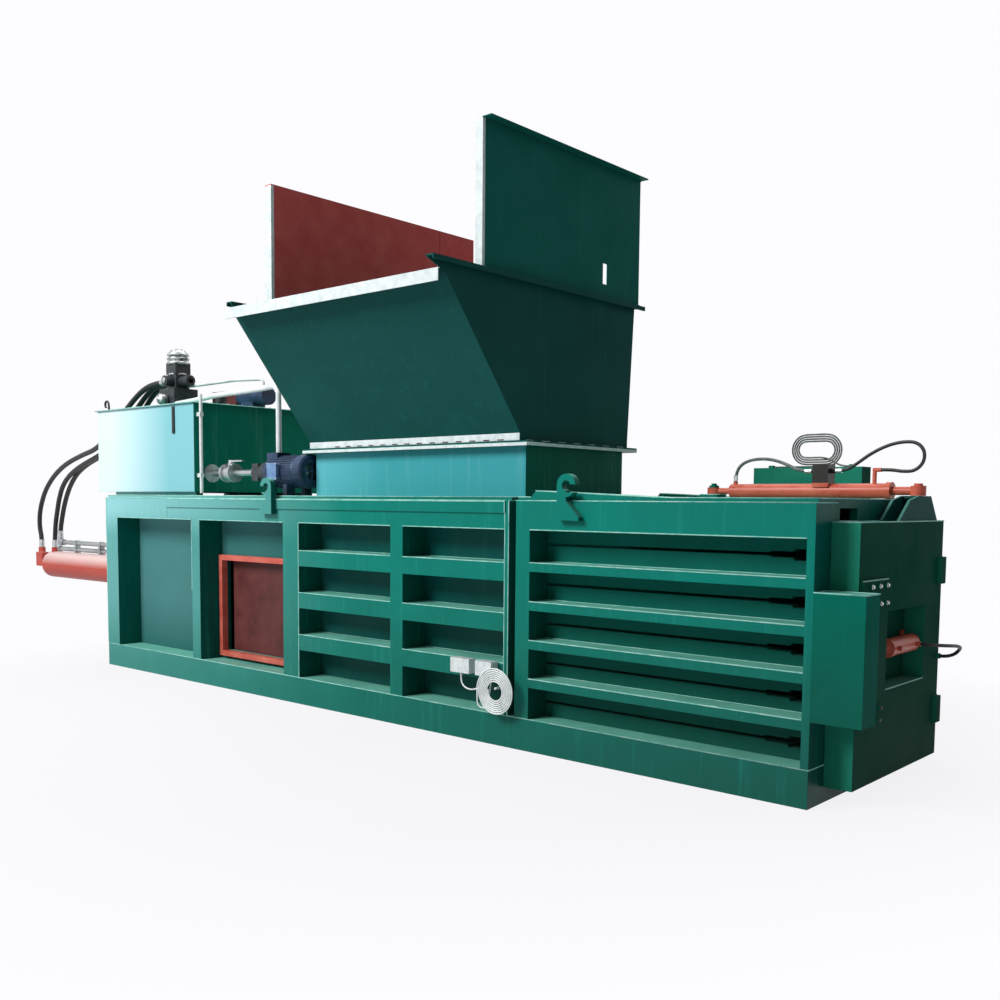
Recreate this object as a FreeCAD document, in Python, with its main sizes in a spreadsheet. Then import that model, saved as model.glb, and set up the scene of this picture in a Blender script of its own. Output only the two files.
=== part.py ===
import FreeCAD, Part
import math
import os
import Sketcher

# Horizontal recycling baler: a long welded press body with a feed hopper on top, an oil tank and
# drive set at the rear, a ram pushed by one long cylinder, and a swinging bale door at the front.
# Frame: millimetres, +X from the rear towards the bale door, +Z up, origin on the floor at the
# centre of the main frame. "Near" is the -Y side and "far" is the +Y side.

doc = FreeCAD.newDocument("recycling_baler")
sheet = doc.addObject("Spreadsheet::Sheet", "dims")
V = FreeCAD.Vector

SIZES = """
post_rear 178 rear corner post along the body
bay_one 1091 first open bay
post_two 106 second post
bay_two 1017 second bay, with the inspection window
post_three 170 third post
bay_three 914 third bay, with ribs
post_four 110 fourth post
bay_four 836 fourth bay, with ribs
flange_plate 28 joint flange of the press section
flange_gap 50 dark gap between press section and bale section
post_five 100 first post of the bale section
bale_bay 1622 slotted bay of the bale section
post_end 40 end plate at the bale door
half_width 700 half of the body width
body_top 1400 top of the beams
floor_beam 182 height of the floor beams
top_beam 1240 underside of the top beams
chamber_half 470 half width of the press chamber
sheet_wall 30 thickness of the side sheets
bale_rib 160 depth of the bale section frame outside its wall
floor_plate 30 thickness of the chamber floor
cross_width 150 width of a floor cross member
strip_start 930 start of the doubler strip on the top beam
strip_low 1330 lower edge of the doubler strip
strip_high 1395 upper edge of the doubler strip
strip_proud 10 thickness of the doubler strip
flange_proud 4 joint flange outside the body
rib_high 106 height of a press section rib
rib_one 373 underside of the lowest rib
rib_two 660 underside of the middle rib
rib_three 946 underside of the top rib
slat_high 50 height of a bale section rib
slat_one 361 underside of the lowest bale rib
slat_pitch 216 spacing of the bale ribs
slit_high 15 height of a tying slit
slit_one 256 underside of the lowest tying slit
slit_step 223 spacing of the tying slits
slit_first 30 height of a tying slit after its first step
slit_wide 56 height of a tying slit at the door end
slit_notch 184 length of the widest end of a slit
slit_mouth 307 length of the widened end of a slit
slit_taper 12 length of the taper into the widened end
rear_plate 40 thickness of the rear wall
deck_plate 20 thickness of the top deck
deck_half 680 half width of the top deck
roof_plate 30 thickness of the chamber roof
deck_beam 110 width of a cross beam under the deck
feed_start 2500 rear edge of the feed opening from the body's rear end
feed_end 4372 front edge of the feed opening from the body's rear end
taper_rise 34 height of the tapered doubler on the bale roof
taper_wide 120 width of the tapered doubler
lintel_notch 60 height of the cable notch in the end lintel
window_left 1440 left edge of the inspection opening
window_right 2260 right edge of the inspection opening
window_low 245 lower edge of the inspection opening
window_high 935 upper edge of the inspection opening
window_border 40 width of the window frame bars
window_proud 50 depth of the window frame
collar_wall 12 plate of the feed collar
collar_top 1715 top of the feed collar wall
collar_flange 16 thickness of the collar flange
collar_lip 66 overhang of the collar flange
hopper_foot 12 thickness of the hopper foot flange
hopper_wall 8 plate of the hopper
throat_half 535 half width of the hopper throat
throat_top 1788 top of the hopper throat skirt
near_top_y 1155 outward reach of the near hopper wall at its top
near_top_z 2589 height of the near hopper wall
near_flange 50 width of the near wall's rim flange
near_lip 60 drop of the near wall's rim lip
far_top_y 590 outward reach of the far hopper wall at its top
rim_top 2645 height of the hopper rim
ear_reach 1290 outward reach of the front side wall's pointed ear
ear_left 1165 outward reach of the rear side wall at its rim
rim_flange 50 width of the side rims
rim_lip 18 drop of the side rim lip
guard_top 3448 height of the guards
guard_sheet 6 plate of the guards
guard_foot 40 width of the guard foot flange
guard_fold 47 fold of the right guard's near edge
left_fold 60 fold of the left guard's near edge
guard_flange 60 width of the guards' top flange
right_near 867 near reach of the right guard
right_far 635 far reach of the right guard
left_near 850 near reach of the left guard
left_far 1100 far reach of the left guard with its wing
guard_slot_high 126 height of the slot in the right guard
guard_slot_wide 45 width of the slot in the right guard
hook_plate 40 thickness of a lifting hook
hook_width 147 width of a lifting hook
hook_low 1295 lower edge of the lifting hooks
hook_tall 249 height of a lifting hook
hook_round 62 outer radius of the hook's head
hook_hole 27 radius of the hook's eye
hook_one 2183 rear hook from the body's rear end
hook_two 4816 front hook from the body's rear end
far_hook_shift 620 the far front hook stands this much nearer the door
tank_back -200 rear face of the oil tank
tank_front 1240 front face of the oil tank
tank_near 650 near face of the oil tank from the centre plane
tank_far 550 far face of the oil tank from the centre plane
tank_low 1450 underside of the oil tank
tank_high 2120 top of the oil tank
tank_lid 6 thickness of the tank lid
lid_over 18 overhang of the tank lid
rail_wide 60 width of a tank rail
gauge_at 956 level gauge from the body's rear end
gauge_wide 28 width of the level gauge
gauge_low 1900 lower end of the level gauge
gauge_high 2105 upper end of the level gauge
gauge_deep 12 depth of the level gauge
stack_at 480 valve stack centre from the body's rear end
stack_y -300 valve stack centre across the body
stack_half 110 half size of the manifold block
manifold_high 170 height of the manifold block
valve_half 62 half size of a valve body
coil_radius 42 radius of a solenoid coil
port_space 49 spacing of the three hose ports
coil_long 120 length of a solenoid coil
dome_radius 70 radius of the pilot valve dome
cooler_axis 2226 height of the cooler motor axis
cooler_y 50 cooler motor across the body
cooler_radius 70 radius of the cooler motor
cooler_start 880 rear end of the cooler motor
cooler_end 1235 front end of the cooler motor
cooler_pump_start 536 rear end of the cooler pump
cooler_pump_half 65 half size of the cooler pump
drive_y -500 drive set across the body
drive_z 1592 height of the drive set axis
motor_radius 112 radius of the drive motor frame
motor_start 2030 rear end of the drive motor
motor_end 2380 front end of the drive motor
cowl_end 2468 front end of the fan cowl
cowl_radius 118 radius of the fan cowl
cowl_wall 4 plate of the fan cowl
shaft_radius 19 radius of the motor shaft
fan_radius 95 radius of the cooling fan
fan_thick 24 thickness of the cooling fan
bell_start 1923 rear end of the bell housing
bell_radius 88 radius of the bell housing
bell_wall 10 wall of the bell housing
coupling_radius 50 radius of the shaft coupling
pump_start 1825 rear end of the oil pump
pump_half 62 half size of the oil pump
suction_radius 24 radius of the suction pipe
valve_start 1440 rear end of the butterfly valve
valve_end 1560 front end of the butterfly valve
valve_radius 55 radius of the butterfly valve body
valve_flange 70 radius of the valve flanges
stem_radius 9 radius of the valve stem
lever_long 150 length of the valve lever
foot_wide 40 width of a motor foot
box_half 60 half size of the terminal box
cyl_z 715 height of the main cylinder axis
cyl_radius 132.5 outer radius of the main cylinder
cyl_bore 110 bore radius of the main cylinder
cyl_back 2400 reach of the cylinder behind the body
cyl_front 1350 front end of the barrel from the body's rear end
cap_thick 60 thickness of the cylinder's rear cap
cap_bevel 24 bevel of the cylinder's rear cap
head_radius 150 radius of the cylinder head
head_end 1430 front end of the cylinder head
piston_start 80 piston's distance from the inside of the rear cap
piston_long 120 length of the piston
piston_gap 0.05 radial running fit of the piston
rod_radius 75 radius of the piston rod
rod_gap 0.05 radial running fit of the piston rod
mount_radius 210 radius of the cylinder's mounting flange
mount_thick 60 thickness of the cylinder's mounting flange
wall_gap 3 clearance of the barrel in the rear wall
pipe_radius 22.5 radius of an oil pipe
port_radius 34 radius of a hose port
port_high 40 height of a hose port
port_block_half 44 half size of the elbow block on the rear cap
port_block_reach 90 rear port behind the rear cap
rear_port_y -74 rear port across the body
second_port_at -2335 second port from the body's rear end
cradle_thick 60 thickness of the cylinder cradle
cradle_at 1000 cradle from the body's rear end
ram_back 1470 rear end of the ram
ram_front 2450 front face of the ram
ram_plate 40 thickness of the ram's face plate
ram_side 5 side clearance of the ram
ram_low 187 underside of the ram
ram_high 1232 top of the ram
ram_web 20 webs of the ram
ram_groove 30 height of a wire groove in the ram face
groove_deep 25 depth of a wire groove in the ram face
ram_tube 140 outer radius of the ram's centre tube
ram_cover_back 520 rear end of the ram's top cover
ram_cover 18 thickness of the ram's top cover
pad_gap 0.3 clearance under the ram's wear pads
pad_wide 80 width of a wear pad
door_start 6262.3 inner face of the bale door
door_front 6400 outer face of the bale door
door_half 535 half width of the bale door
door_low 76 lower edge of the bale door
door_high 1313 upper edge of the bale door
pocket_near -185 near side of the lock pocket
pocket_far 312 far side of the lock pocket
pocket_low 508 lower side of the lock pocket
pocket_high 885 upper side of the lock pocket
pocket_floor 6297 floor of the lock pocket
guide_plate 12 thickness of the lock guide plate
guide_near -513 near edge of the lock guide plate
guide_far -220 far edge of the lock guide plate
guide_low 361 lower edge of the lock guide plate
guide_high 1045 upper edge of the lock guide plate
hinge_x 6332 hinge axis from the body's rear end
hinge_y 590 hinge axis across the body
hinge_radius 45 radius of a hinge knuckle
hinge_pin 20 radius of a hinge pin
hinge_gap 0.05 radial running fit of the hinge pins
hinge_space 0.5 gap between the knuckles
hinge_low 219 underside of the lower hinge
hinge_high 950 underside of the upper hinge
hinge_tall 150 height of a hinge
strap_long 62 reach of a hinge strap over the door face
strap_thick 22 thickness of a hinge strap
strap_tall 140 height of a hinge strap
strap_low 250 underside of the lower hinge strap
strap_high 985 underside of the upper hinge strap
latch_end 6505 front face of the latch box
latch_far 550 far face of the latch box from the centre plane
latch_low 405 lower edge of the latch box
latch_high 997 upper edge of the latch box
latch_wall 20 plate of the latch box
bolt_x 6346 lock bolt axis from the body's rear end
bolt_z 690 height of the lock bolt axis
bolt_wide 60 lock bolt width
bolt_tall 80 lock bolt height
bolt_gap 0.5 clearance round the lock bolt
bolt_tip 515 tip of the lock bolt from the centre plane
bolt_back -170 back end of the lock bolt
lock_radius 45 outer radius of the lock cylinder
lock_bore 34 bore radius of the lock cylinder
lock_start -60 near end of the lock cylinder
lock_end 285 far end of the lock cylinder
lock_rod 14 radius of the lock rod
lock_fitting_y 520 lock hose fitting on the door across the body
lock_fitting_z 600 height of the lock hose fitting on the door
lock_piston 130 piston of the lock cylinder at rest
bracket_x 6392 front face of the door bracket
bracket_wide 100 width of the door bracket
bracket_plate 15 plate of the door bracket
bracket_top 1440 top of the door bracket
lift_y 300 door cylinder across the body
lift_z 1466 height of the door cylinder axis
lift_radius 40 outer radius of the door cylinder
lift_bore 30 bore radius of the door cylinder
lift_start 5281 rear end of the door cylinder barrel
lift_end 6214 front end of the door cylinder barrel
lift_tail 5165 tail pivot of the door cylinder
lift_pin 6347 rod pivot of the door cylinder
lift_rod 22 radius of the door cylinder rod
lift_piston 5836 piston of the door cylinder at rest
eye_radius 38 radius of the pivot eyes
eye_half 20 half height of the pivot eyes
eye_pin 16 radius of the pivot pins
eye_gap 1.5 clearance under the rod eye
block_start 5790 rear end of the block on the door cylinder
block_end 5880 front end of the block on the door cylinder
block_half 45 half width of the block on the door cylinder
block_top 1610 top of the block on the door cylinder
valve_box_start 5280 rear end of the door valve box
valve_box_end 5940 front end of the door valve box
valve_box_near 560 near side of the door valve box
valve_box_high 1605 top of the door valve box
valve_box_foot 8 height of the foot of the door valve box
wound_at_y 620 plane of the wound control lead across the body
wound_radius 5 radius of the control lead
wound_in 5380 where the control lead leaves its gland
wound_out 5850 where the control lead enters its other gland
wound_mid 5640 middle of the wound control lead along the body
wound_half 60 half the straight length of the wound loops
wound_outer 92 radius of the outermost wound loop
wound_pitch 13 spacing of the wound loops
wound_rows 4 number of wound loops
seat_gap 0.3 clearance between pieces that touch
breather_at 1080 breather along the body
breather_y -300 breather across the body
port_tail_at 5305 tail port of the door cylinder
port_rod_at 6117 rod port of the door cylinder
peg_at 4432 coil peg along the body
peg_z 347 height of the coil peg
conduit_radius 20 radius of the white conduit
junction_one 4056 rear junction box
junction_one_long 148 length of the rear junction box
junction_two 4252 front junction box
junction_two_long 124 length of the front junction box
junction_low 400 lower edge of the junction boxes
junction_tall 85 height of the junction boxes
junction_deep 60 depth of the junction boxes
hose_radius 22.5 radius of the pressure hoses
small_hose 9 radius of the door hoses
cable_radius 4.5 radius of the white cable
coil_pitch 12 spacing of the loops of the cable coil
coil_inner 47 radius of the innermost loop of the cable coil
coil_rows 7 number of loops of the cable coil
peg_long 84 length of the peg that holds the cable coil
peg_radius 7 radius of the peg that holds the cable coil
"""


class Size(float):
    """A length that carries its number and the spreadsheet formula behind it."""

    def __new__(cls, number, text):
        item = float.__new__(cls, number)
        item.text = text
        return item

    def __add__(self, other):
        return Size(float(self) + float(other), "(%s + %s)" % (self.text, formula(other)))

    def __radd__(self, other):
        return Size(float(other) + float(self), "(%s + %s)" % (formula(other), self.text))

    def __sub__(self, other):
        return Size(float(self) - float(other), "(%s - %s)" % (self.text, formula(other)))

    def __rsub__(self, other):
        return Size(float(other) - float(self), "(%s - %s)" % (formula(other), self.text))

    def __mul__(self, other):
        return Size(float(self) * float(other), "(%s * %s)" % (self.text, formula(other)))

    def __rmul__(self, other):
        return Size(float(other) * float(self), "(%s * %s)" % (formula(other), self.text))

    def __truediv__(self, other):
        return Size(float(self) / float(other), "(%s / %s)" % (self.text, formula(other)))

    def __neg__(self):
        return Size(-float(self), "(0 - %s)" % self.text)


def formula(value):
    """The formula text of a size, or the plain number."""
    if isinstance(value, Size):
        return value.text
    return repr(float(value))


class Values:
    """The named sizes, one attribute for each row of the sheet."""


d = Values()
sheet.set("A1", "size")
sheet.set("B1", "value")
row = 2
for line in SIZES.strip().splitlines():
    alias, number, note = line.split(" ", 2)
    sheet.set("A%d" % row, note)
    sheet.set("B%d" % row, number)
    sheet.setAlias("B%d" % row, alias)
    setattr(d, alias, Size(float(number), "dims." + alias))
    row += 1
doc.recompute()


def bind(item, path, value):
    """Tie one property to its formula."""
    if isinstance(value, Size):
        item.setExpression(path, value.text)
    elif not path.startswith("."):
        setattr(item, path, value)


def settle(item, x, y, z, turn=None):
    """Put an item's origin at x, y, z."""
    if turn is None:
        turn = FreeCAD.Rotation()
    item.Placement = FreeCAD.Placement(V(float(x), float(y), float(z)), turn)
    bind(item, ".Placement.Base.x", x)
    bind(item, ".Placement.Base.y", y)
    bind(item, ".Placement.Base.z", z)


def box(name, x, y, z):
    """A block between two ends on each axis."""
    item = doc.addObject("Part::Box", name)
    bind(item, "Length", x[1] - x[0])
    bind(item, "Width", y[1] - y[0])
    bind(item, "Height", z[1] - z[0])
    settle(item, x[0], y[0], z[0])
    return item


TURNS = {
    "X": FreeCAD.Rotation(V(0, 1, 0), 90),
    "Y": FreeCAD.Rotation(V(1, 0, 0), -90),
    "Z": FreeCAD.Rotation(),
}


def rod(name, axis, at, radius, length):
    """A round bar that starts at a point and runs along +axis."""
    item = doc.addObject("Part::Cylinder", name)
    bind(item, "Radius", radius)
    bind(item, "Height", length)
    settle(item, at[0], at[1], at[2], TURNS[axis])
    return item


def fuse(name, items):
    """Several pieces welded into one."""
    item = doc.addObject("Part::MultiFuse", name)
    item.Shapes = items
    return item


def cut(name, base, tools):
    """A piece with openings taken out."""
    tool = tools[0]
    if len(tools) > 1:
        tool = fuse(name + "_openings", tools)
    item = doc.addObject("Part::Cut", name)
    item.Base = base
    item.Tool = tool
    return item


def far_side(name, source):
    """The same piece on the far side."""
    item = doc.addObject("Part::Mirroring", name)
    item.Source = source
    item.Base = V(0, 0, 0)
    item.Normal = V(0, 1, 0)
    return item


def moved(name, source, along):
    """A piece carried along the body."""
    item = doc.addObject("Part::Compound", name)
    item.Links = [source]
    item.Placement = FreeCAD.Placement(V(float(along), 0, 0), FreeCAD.Rotation())
    bind(item, ".Placement.Base.x", along)
    return item


def plate(name, plane, points, start, thick):
    """A flat plate cut to a polygon: plane names the two axes that the points are in."""
    corners = []
    for first, second in points:
        if plane == "XZ":
            corners.append(V(float(first), 0, float(second)))
            move = V(0, 1, 0)
        elif plane == "YZ":
            corners.append(V(0, float(first), float(second)))
            move = V(1, 0, 0)
        else:
            corners.append(V(float(first), float(second), 0))
            move = V(0, 0, 1)
    face = Part.Face(Part.makePolygon(corners + corners[:1]))
    item = doc.addObject("Part::Feature", name)
    item.Shape = face.extrude(move * float(thick))
    item.Placement = FreeCAD.Placement(move * float(start), FreeCAD.Rotation())
    return item


def sketch_loop(body, name, role, points):
    """A closed straight-sided sketch on one of the body's own planes, each corner dimensioned."""
    sketch = body.newObject("Sketcher::SketchObject", name)
    plane = [part for part in body.Origin.OriginFeatures if part.Role == role][0]
    sketch.AttachmentSupport = [(plane, "")]
    sketch.MapMode = "FlatFace"
    count = len(points)
    for index in range(count):
        start = points[index]
        end = points[(index + 1) % count]
        one = V(float(start[0]), float(start[1]), 0)
        two = V(float(end[0]), float(end[1]), 0)
        sketch.addGeometry(Part.LineSegment(one, two), False)
    for index in range(count):
        sketch.addConstraint(Sketcher.Constraint("Coincident", index, 2, (index + 1) % count, 1))
    for index in range(count):
        for kind, value, axis in (("DistanceX", points[index][0], -2), ("DistanceY", points[index][1], -1)):
            if float(value) == 0.0:
                sketch.addConstraint(Sketcher.Constraint("PointOnObject", index, 1, axis))
                continue
            number = sketch.addConstraint(Sketcher.Constraint(kind, -1, 1, index, 1, float(value)))
            if isinstance(value, Size):
                sketch.setExpression("Constraints[%d]" % number, value.text)
    return sketch


def turned(name, at, axis, points):
    """A round body turned about its own axis: points are (along the axis, radius)."""
    body = doc.addObject("PartDesign::Body", name)
    sketch = sketch_loop(body, name + "_profile", "XY_Plane", points)
    turn = body.newObject("PartDesign::Revolution", name + "_turn")
    turn.Profile = sketch
    turn.ReferenceAxis = (sketch, ["H_Axis"])
    turn.Angle = 360
    body.Tip = turn
    rotation = FreeCAD.Rotation()
    if axis == "Y":
        rotation = FreeCAD.Rotation(V(0, 0, 1), 90)
    if axis == "-Y":
        rotation = FreeCAD.Rotation(V(0, 0, 1), -90)
    if axis == "Z":
        rotation = FreeCAD.Rotation(V(0, 1, 0), -90)
    settle(body, at[0], at[1], at[2], rotation)
    return body


def route(points, radius, name, keep=None):
    """A path of straight runs joined by arcs as large as the runs allow."""
    spots = [V(*point) for point in points]
    edges = []
    at = spots[0]
    least = None
    for index in range(1, len(spots) - 1):
        back = spots[index - 1] - spots[index]
        ahead = spots[index + 1] - spots[index]
        shorter = min(back.Length, ahead.Length)
        back_way = V(back).normalize()
        ahead_way = V(ahead).normalize()
        turn = math.pi - math.acos(max(-1.0, min(1.0, back_way.dot(ahead_way))))
        trim = 0.45 * shorter
        if keep is not None:
            trim = min(trim, keep * math.tan(turn / 2))
        bend = trim / math.tan(turn / 2)
        if least is None or bend < least:
            least = bend
        start = spots[index] + back_way * trim
        end = spots[index] + ahead_way * trim
        inward = (back_way + ahead_way).normalize()
        away = math.hypot(bend, trim) - bend
        middle = spots[index] + inward * away
        edges.append(Part.LineSegment(at, start).toShape())
        edges.append(Part.Arc(start, middle, end).toShape())
        at = end
    edges.append(Part.LineSegment(at, spots[-1]).toShape())
    wire = Part.Wire(edges)
    print("%s: length %.0f, least radius %.0f, diameters %.1f" % (name, wire.Length, least or 0, (least or 0) / 2 / radius))
    return wire


def hose(name, points, radius, keep=None):
    """A round hose or pipe along a route."""
    wire = route(points, float(radius), name, keep)
    start = V(*points[0])
    way = V(*points[1]) - start
    ring = Part.Wire([Part.makeCircle(float(radius), start, way)])
    shell = wire.makePipeShell([ring], True, False)
    item = doc.addObject("Part::Feature", name)
    item.Shape = shell
    ideal = math.pi * float(radius) ** 2 * wire.Length
    print("  volume over section times length: %.4f" % (shell.Volume / ideal))
    return item


# Stations along the body, from its rear end to the bale door.
total = d.post_rear + d.bay_one + d.post_two + d.bay_two + d.post_three + d.bay_three + d.post_four
total = total + d.bay_four + d.flange_plate + d.flange_gap + d.post_five + d.bale_bay + d.post_end
x_rear = -total / 2
x_a = x_rear + d.post_rear
x_b = x_a + d.bay_one
x_c = x_b + d.post_two
x_d = x_c + d.bay_two
x_e = x_d + d.post_three
x_f = x_e + d.bay_three
x_g = x_f + d.post_four
x_h = x_g + d.bay_four
x_i = x_h + d.flange_plate
x_j = x_i + d.flange_gap
x_k = x_j + d.post_five
x_l = x_k + d.bale_bay
x_end = x_l + d.post_end
near_face = -d.half_width
near_wall = -d.chamber_half
near_sheet = near_wall - d.sheet_wall
near_slat = near_face + d.bale_rib
beams = (d.floor_beam, d.top_beam)


def at_x(value):
    """A position given from the body's rear end."""
    return x_rear + value


# Floor frame: two long floor beams, the chamber floor and cross members.
pieces = []
pieces.append(box("floor_beam_near", (x_rear, x_end), (near_face, near_wall), (0, d.floor_beam)))
pieces.append(far_side("floor_beam_far", pieces[0]))
floor_low = d.floor_beam - d.floor_plate
pieces.append(box("chamber_floor", (x_rear, x_end), (near_wall, d.chamber_half), (floor_low, d.floor_beam)))
for index in range(7):
    start = x_rear + (total - d.cross_width) * index / 6
    across = (near_wall, d.chamber_half)
    pieces.append(box("cross_member_%d" % index, (start, start + d.cross_width), across, (0, floor_low)))
base_frame = fuse("base_frame", pieces)

# Rear frame: corner post, two posts and the top beam with its doubler strip.
pieces = []
for index, ends in enumerate(((x_rear, x_a), (x_b, x_c), (x_d, x_e))):
    pieces.append(box("rear_post_%d" % index, ends, (near_face, near_sheet), beams))
pieces.append(box("rear_beam", (x_rear, x_e), (near_face, near_wall), (d.top_beam, d.body_top)))
strip_y = (near_face - d.strip_proud, near_face)
strip_z = (d.strip_low, d.strip_high)
pieces.append(box("rear_strip", (at_x(d.strip_start), x_e), strip_y, strip_z))
near_rear_frame = fuse("near_rear_frame", pieces)
far_rear_frame = far_side("far_rear_frame", near_rear_frame)

# Feed frame: a post, three ribs in each of two bays, the top beam and the joint flange.
pieces = []
pieces.append(box("feed_post", (x_f, x_g), (near_face, near_sheet), beams))
for index, low in enumerate((d.rib_one, d.rib_two, d.rib_three)):
    pieces.append(box("rib_back_%d" % index, (x_e, x_f), (near_face, near_sheet), (low, low + d.rib_high)))
    pieces.append(box("rib_front_%d" % index, (x_g, x_h), (near_face, near_sheet), (low, low + d.rib_high)))
pieces.append(box("feed_beam", (x_e, x_h), (near_face, near_wall), (d.top_beam, d.body_top)))
pieces.append(box("feed_strip", (x_e, x_h), strip_y, strip_z))
pieces.append(box("joint_flange", (x_h, x_i), (near_face, near_sheet), beams))
pieces.append(box("joint_flange_top", (x_h, x_i), (near_face, near_wall), (d.top_beam, d.body_top)))
flange_y = (near_face - d.flange_proud, near_face)
pieces.append(box("joint_flange_edge", (x_h, x_i), flange_y, (beams[0], d.body_top)))
near_feed_frame = fuse("near_feed_frame", pieces)
far_feed_frame = far_side("far_feed_frame", near_feed_frame)

# Bale frame: a post, four slats, the end plate and the top beam.
pieces = []
pieces.append(box("bale_post", (x_j, x_k), (near_face, near_slat), beams))
pieces.append(box("end_post", (x_l, x_end), (near_face, near_slat), beams))
pieces.append(box("bale_beam", (x_j, x_end), (near_face, near_wall), (d.top_beam, d.body_top)))
for index in range(4):
    low = d.slat_one + d.slat_pitch * index
    pieces.append(box("slat_%d" % index, (x_k, x_l), (near_face, near_slat), (low, low + d.slat_high)))
near_bale_frame = fuse("near_bale_frame", pieces)
far_bale_frame = far_side("far_bale_frame", near_bale_frame)

# Side sheets of the press section, the near one with the inspection opening.
sheet_y = (near_sheet, near_wall)
full = box("side_sheet_full", (x_rear, x_j), sheet_y, beams)
opening_x = (at_x(d.window_left), at_x(d.window_right))
opening_z = (d.window_low, d.window_high)
opening = box("inspection_opening", opening_x, (near_sheet - 5, near_wall + 5), opening_z)
near_side_sheet = cut("near_side_sheet", full, [opening])
far_side_sheet = box("far_side_sheet", (x_rear, x_j), (d.chamber_half, -near_sheet), beams)

# Bale chamber walls: six bars with the tying slits between them, wider at the door end.
pieces = []
levels = [d.floor_beam]
for index in range(5):
    low = d.slit_one + d.slit_step * index
    levels.append(low)
    levels.append(low + d.slit_high)
levels.append(d.top_beam)
spread = (d.slit_wide - d.slit_high) / 2
step_one = (d.slit_first - d.slit_high) / 2
mouth = x_end - d.slit_mouth
notch_x = x_end - d.slit_notch
for index in range(6):
    low = levels[2 * index]
    high = levels[2 * index + 1]
    corners = [(x_j, low)]
    if index > 0:
        corners += [(mouth, low), (mouth + d.slit_taper, low + step_one), (notch_x, low + step_one)]
        corners += [(notch_x + d.slit_taper, low + spread), (x_end, low + spread)]
    else:
        corners += [(x_end, low)]
    if index < 5:
        corners += [(x_end, high - spread), (notch_x + d.slit_taper, high - spread)]
        corners += [(notch_x, high - step_one), (mouth + d.slit_taper, high - step_one), (mouth, high)]
    else:
        corners += [(x_end, high)]
    corners += [(x_j, high)]
    pieces.append(plate("wall_bar_%d" % index, "XZ", corners, near_slat, near_wall - near_slat))
near_bale_wall = fuse("near_bale_wall", pieces)
far_bale_wall = far_side("far_bale_wall", near_bale_wall)

# Rear wall, with the hole for the cylinder barrel and two for its oil pipes.
wall = box("rear_wall_plate", (x_rear, x_rear + d.rear_plate), (near_wall, d.chamber_half), beams)
hole_start = x_rear - 5
hole_long = d.rear_plate + 10
holes = [rod("barrel_hole", "X", (hole_start, 0, d.cyl_z), d.cyl_radius + d.wall_gap, hole_long)]
pipe_rise = d.cyl_radius + d.pipe_radius + 8
holes.append(rod("pipe_hole_low", "X", (hole_start, 0, d.cyl_z + pipe_rise), d.pipe_radius + d.wall_gap, hole_long))
high_rise = pipe_rise + d.pipe_radius * 3
holes.append(rod("pipe_hole_high", "X", (hole_start, 0, d.cyl_z + high_rise), d.pipe_radius + d.wall_gap, hole_long))
rear_wall = cut("rear_wall", wall, holes)

# Top deck of the press section: deck plate, chamber roof and cross beams round the feed opening.
feed_x = (at_x(d.feed_start), at_x(d.feed_end))
deck_z = (d.body_top, d.body_top + d.deck_plate)
roof_z = (d.top_beam, d.top_beam + d.roof_plate)
pieces = [box("deck_plate", (x_rear, x_i), (-d.deck_half, d.deck_half), deck_z)]
pieces.append(box("chamber_roof", (x_rear, x_i), (near_wall, d.chamber_half), roof_z))
beam_z = (d.top_beam + d.roof_plate, d.body_top)
for index in range(4):
    start = x_rear + (d.feed_start - d.deck_beam) * index / 3
    ends = (start, start + d.deck_beam)
    pieces.append(box("deck_beam_%d" % index, ends, (near_wall, d.chamber_half), beam_z))
pieces.append(box("deck_beam_front", (feed_x[1], x_i), (near_wall, d.chamber_half), beam_z))
deck = fuse("deck_assembly", pieces)
inner = (near_wall, d.chamber_half)
feed_hole = box("feed_opening", feed_x, inner, (d.top_beam - 5, d.body_top + d.deck_plate + 5))
top_deck = cut("top_deck", deck, [feed_hole])

# Roof of the bale section, its end lintel with the hose notch, and tapered doublers on top.
pieces = [box("bale_deck", (x_j, x_end), (-d.deck_half, d.deck_half), deck_z)]
pieces.append(box("bale_ceiling", (x_j, x_end), (near_wall, d.chamber_half), roof_z))
for index in range(3):
    start = x_j + (d.post_five + d.bale_bay) * index / 3
    ends = (start, start + d.deck_beam)
    pieces.append(box("bale_cross_%d" % index, ends, (near_wall, d.chamber_half), beam_z))
pieces.append(box("end_lintel", (x_l, x_end), (near_wall, d.chamber_half), beam_z))
deck_top = d.body_top + d.deck_plate
taper = [(x_k - 10, deck_top), (x_k + 25, deck_top + d.taper_rise), (x_k + 850, deck_top)]
near_taper = plate("near_taper", "XZ", taper, -d.deck_half, d.taper_wide)
pieces.append(near_taper)
pieces.append(far_side("far_taper", near_taper))
roof = fuse("bale_roof_assembly", pieces)
notch_z = (d.body_top - 25 - d.lintel_notch, d.body_top - 25)
notch = box("hose_notch", (x_l - 5, x_end + 5), (near_wall + 20, near_wall + 220), notch_z)
bale_roof = cut("bale_roof", roof, [notch])

# Inspection window frame: a welded square frame round the opening.
grow = d.window_border
outer_x = (opening_x[0] - grow, opening_x[1] + grow)
outer_z = (opening_z[0] - grow, opening_z[1] + grow)
frame_y = (near_sheet - d.window_proud, near_sheet)
outer = box("window_outer", outer_x, frame_y, outer_z)
inner_box = box("window_inner", opening_x, (frame_y[0] - 5, near_sheet + 5), opening_z)
window_frame = cut("window_frame", outer, [inner_box])

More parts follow.
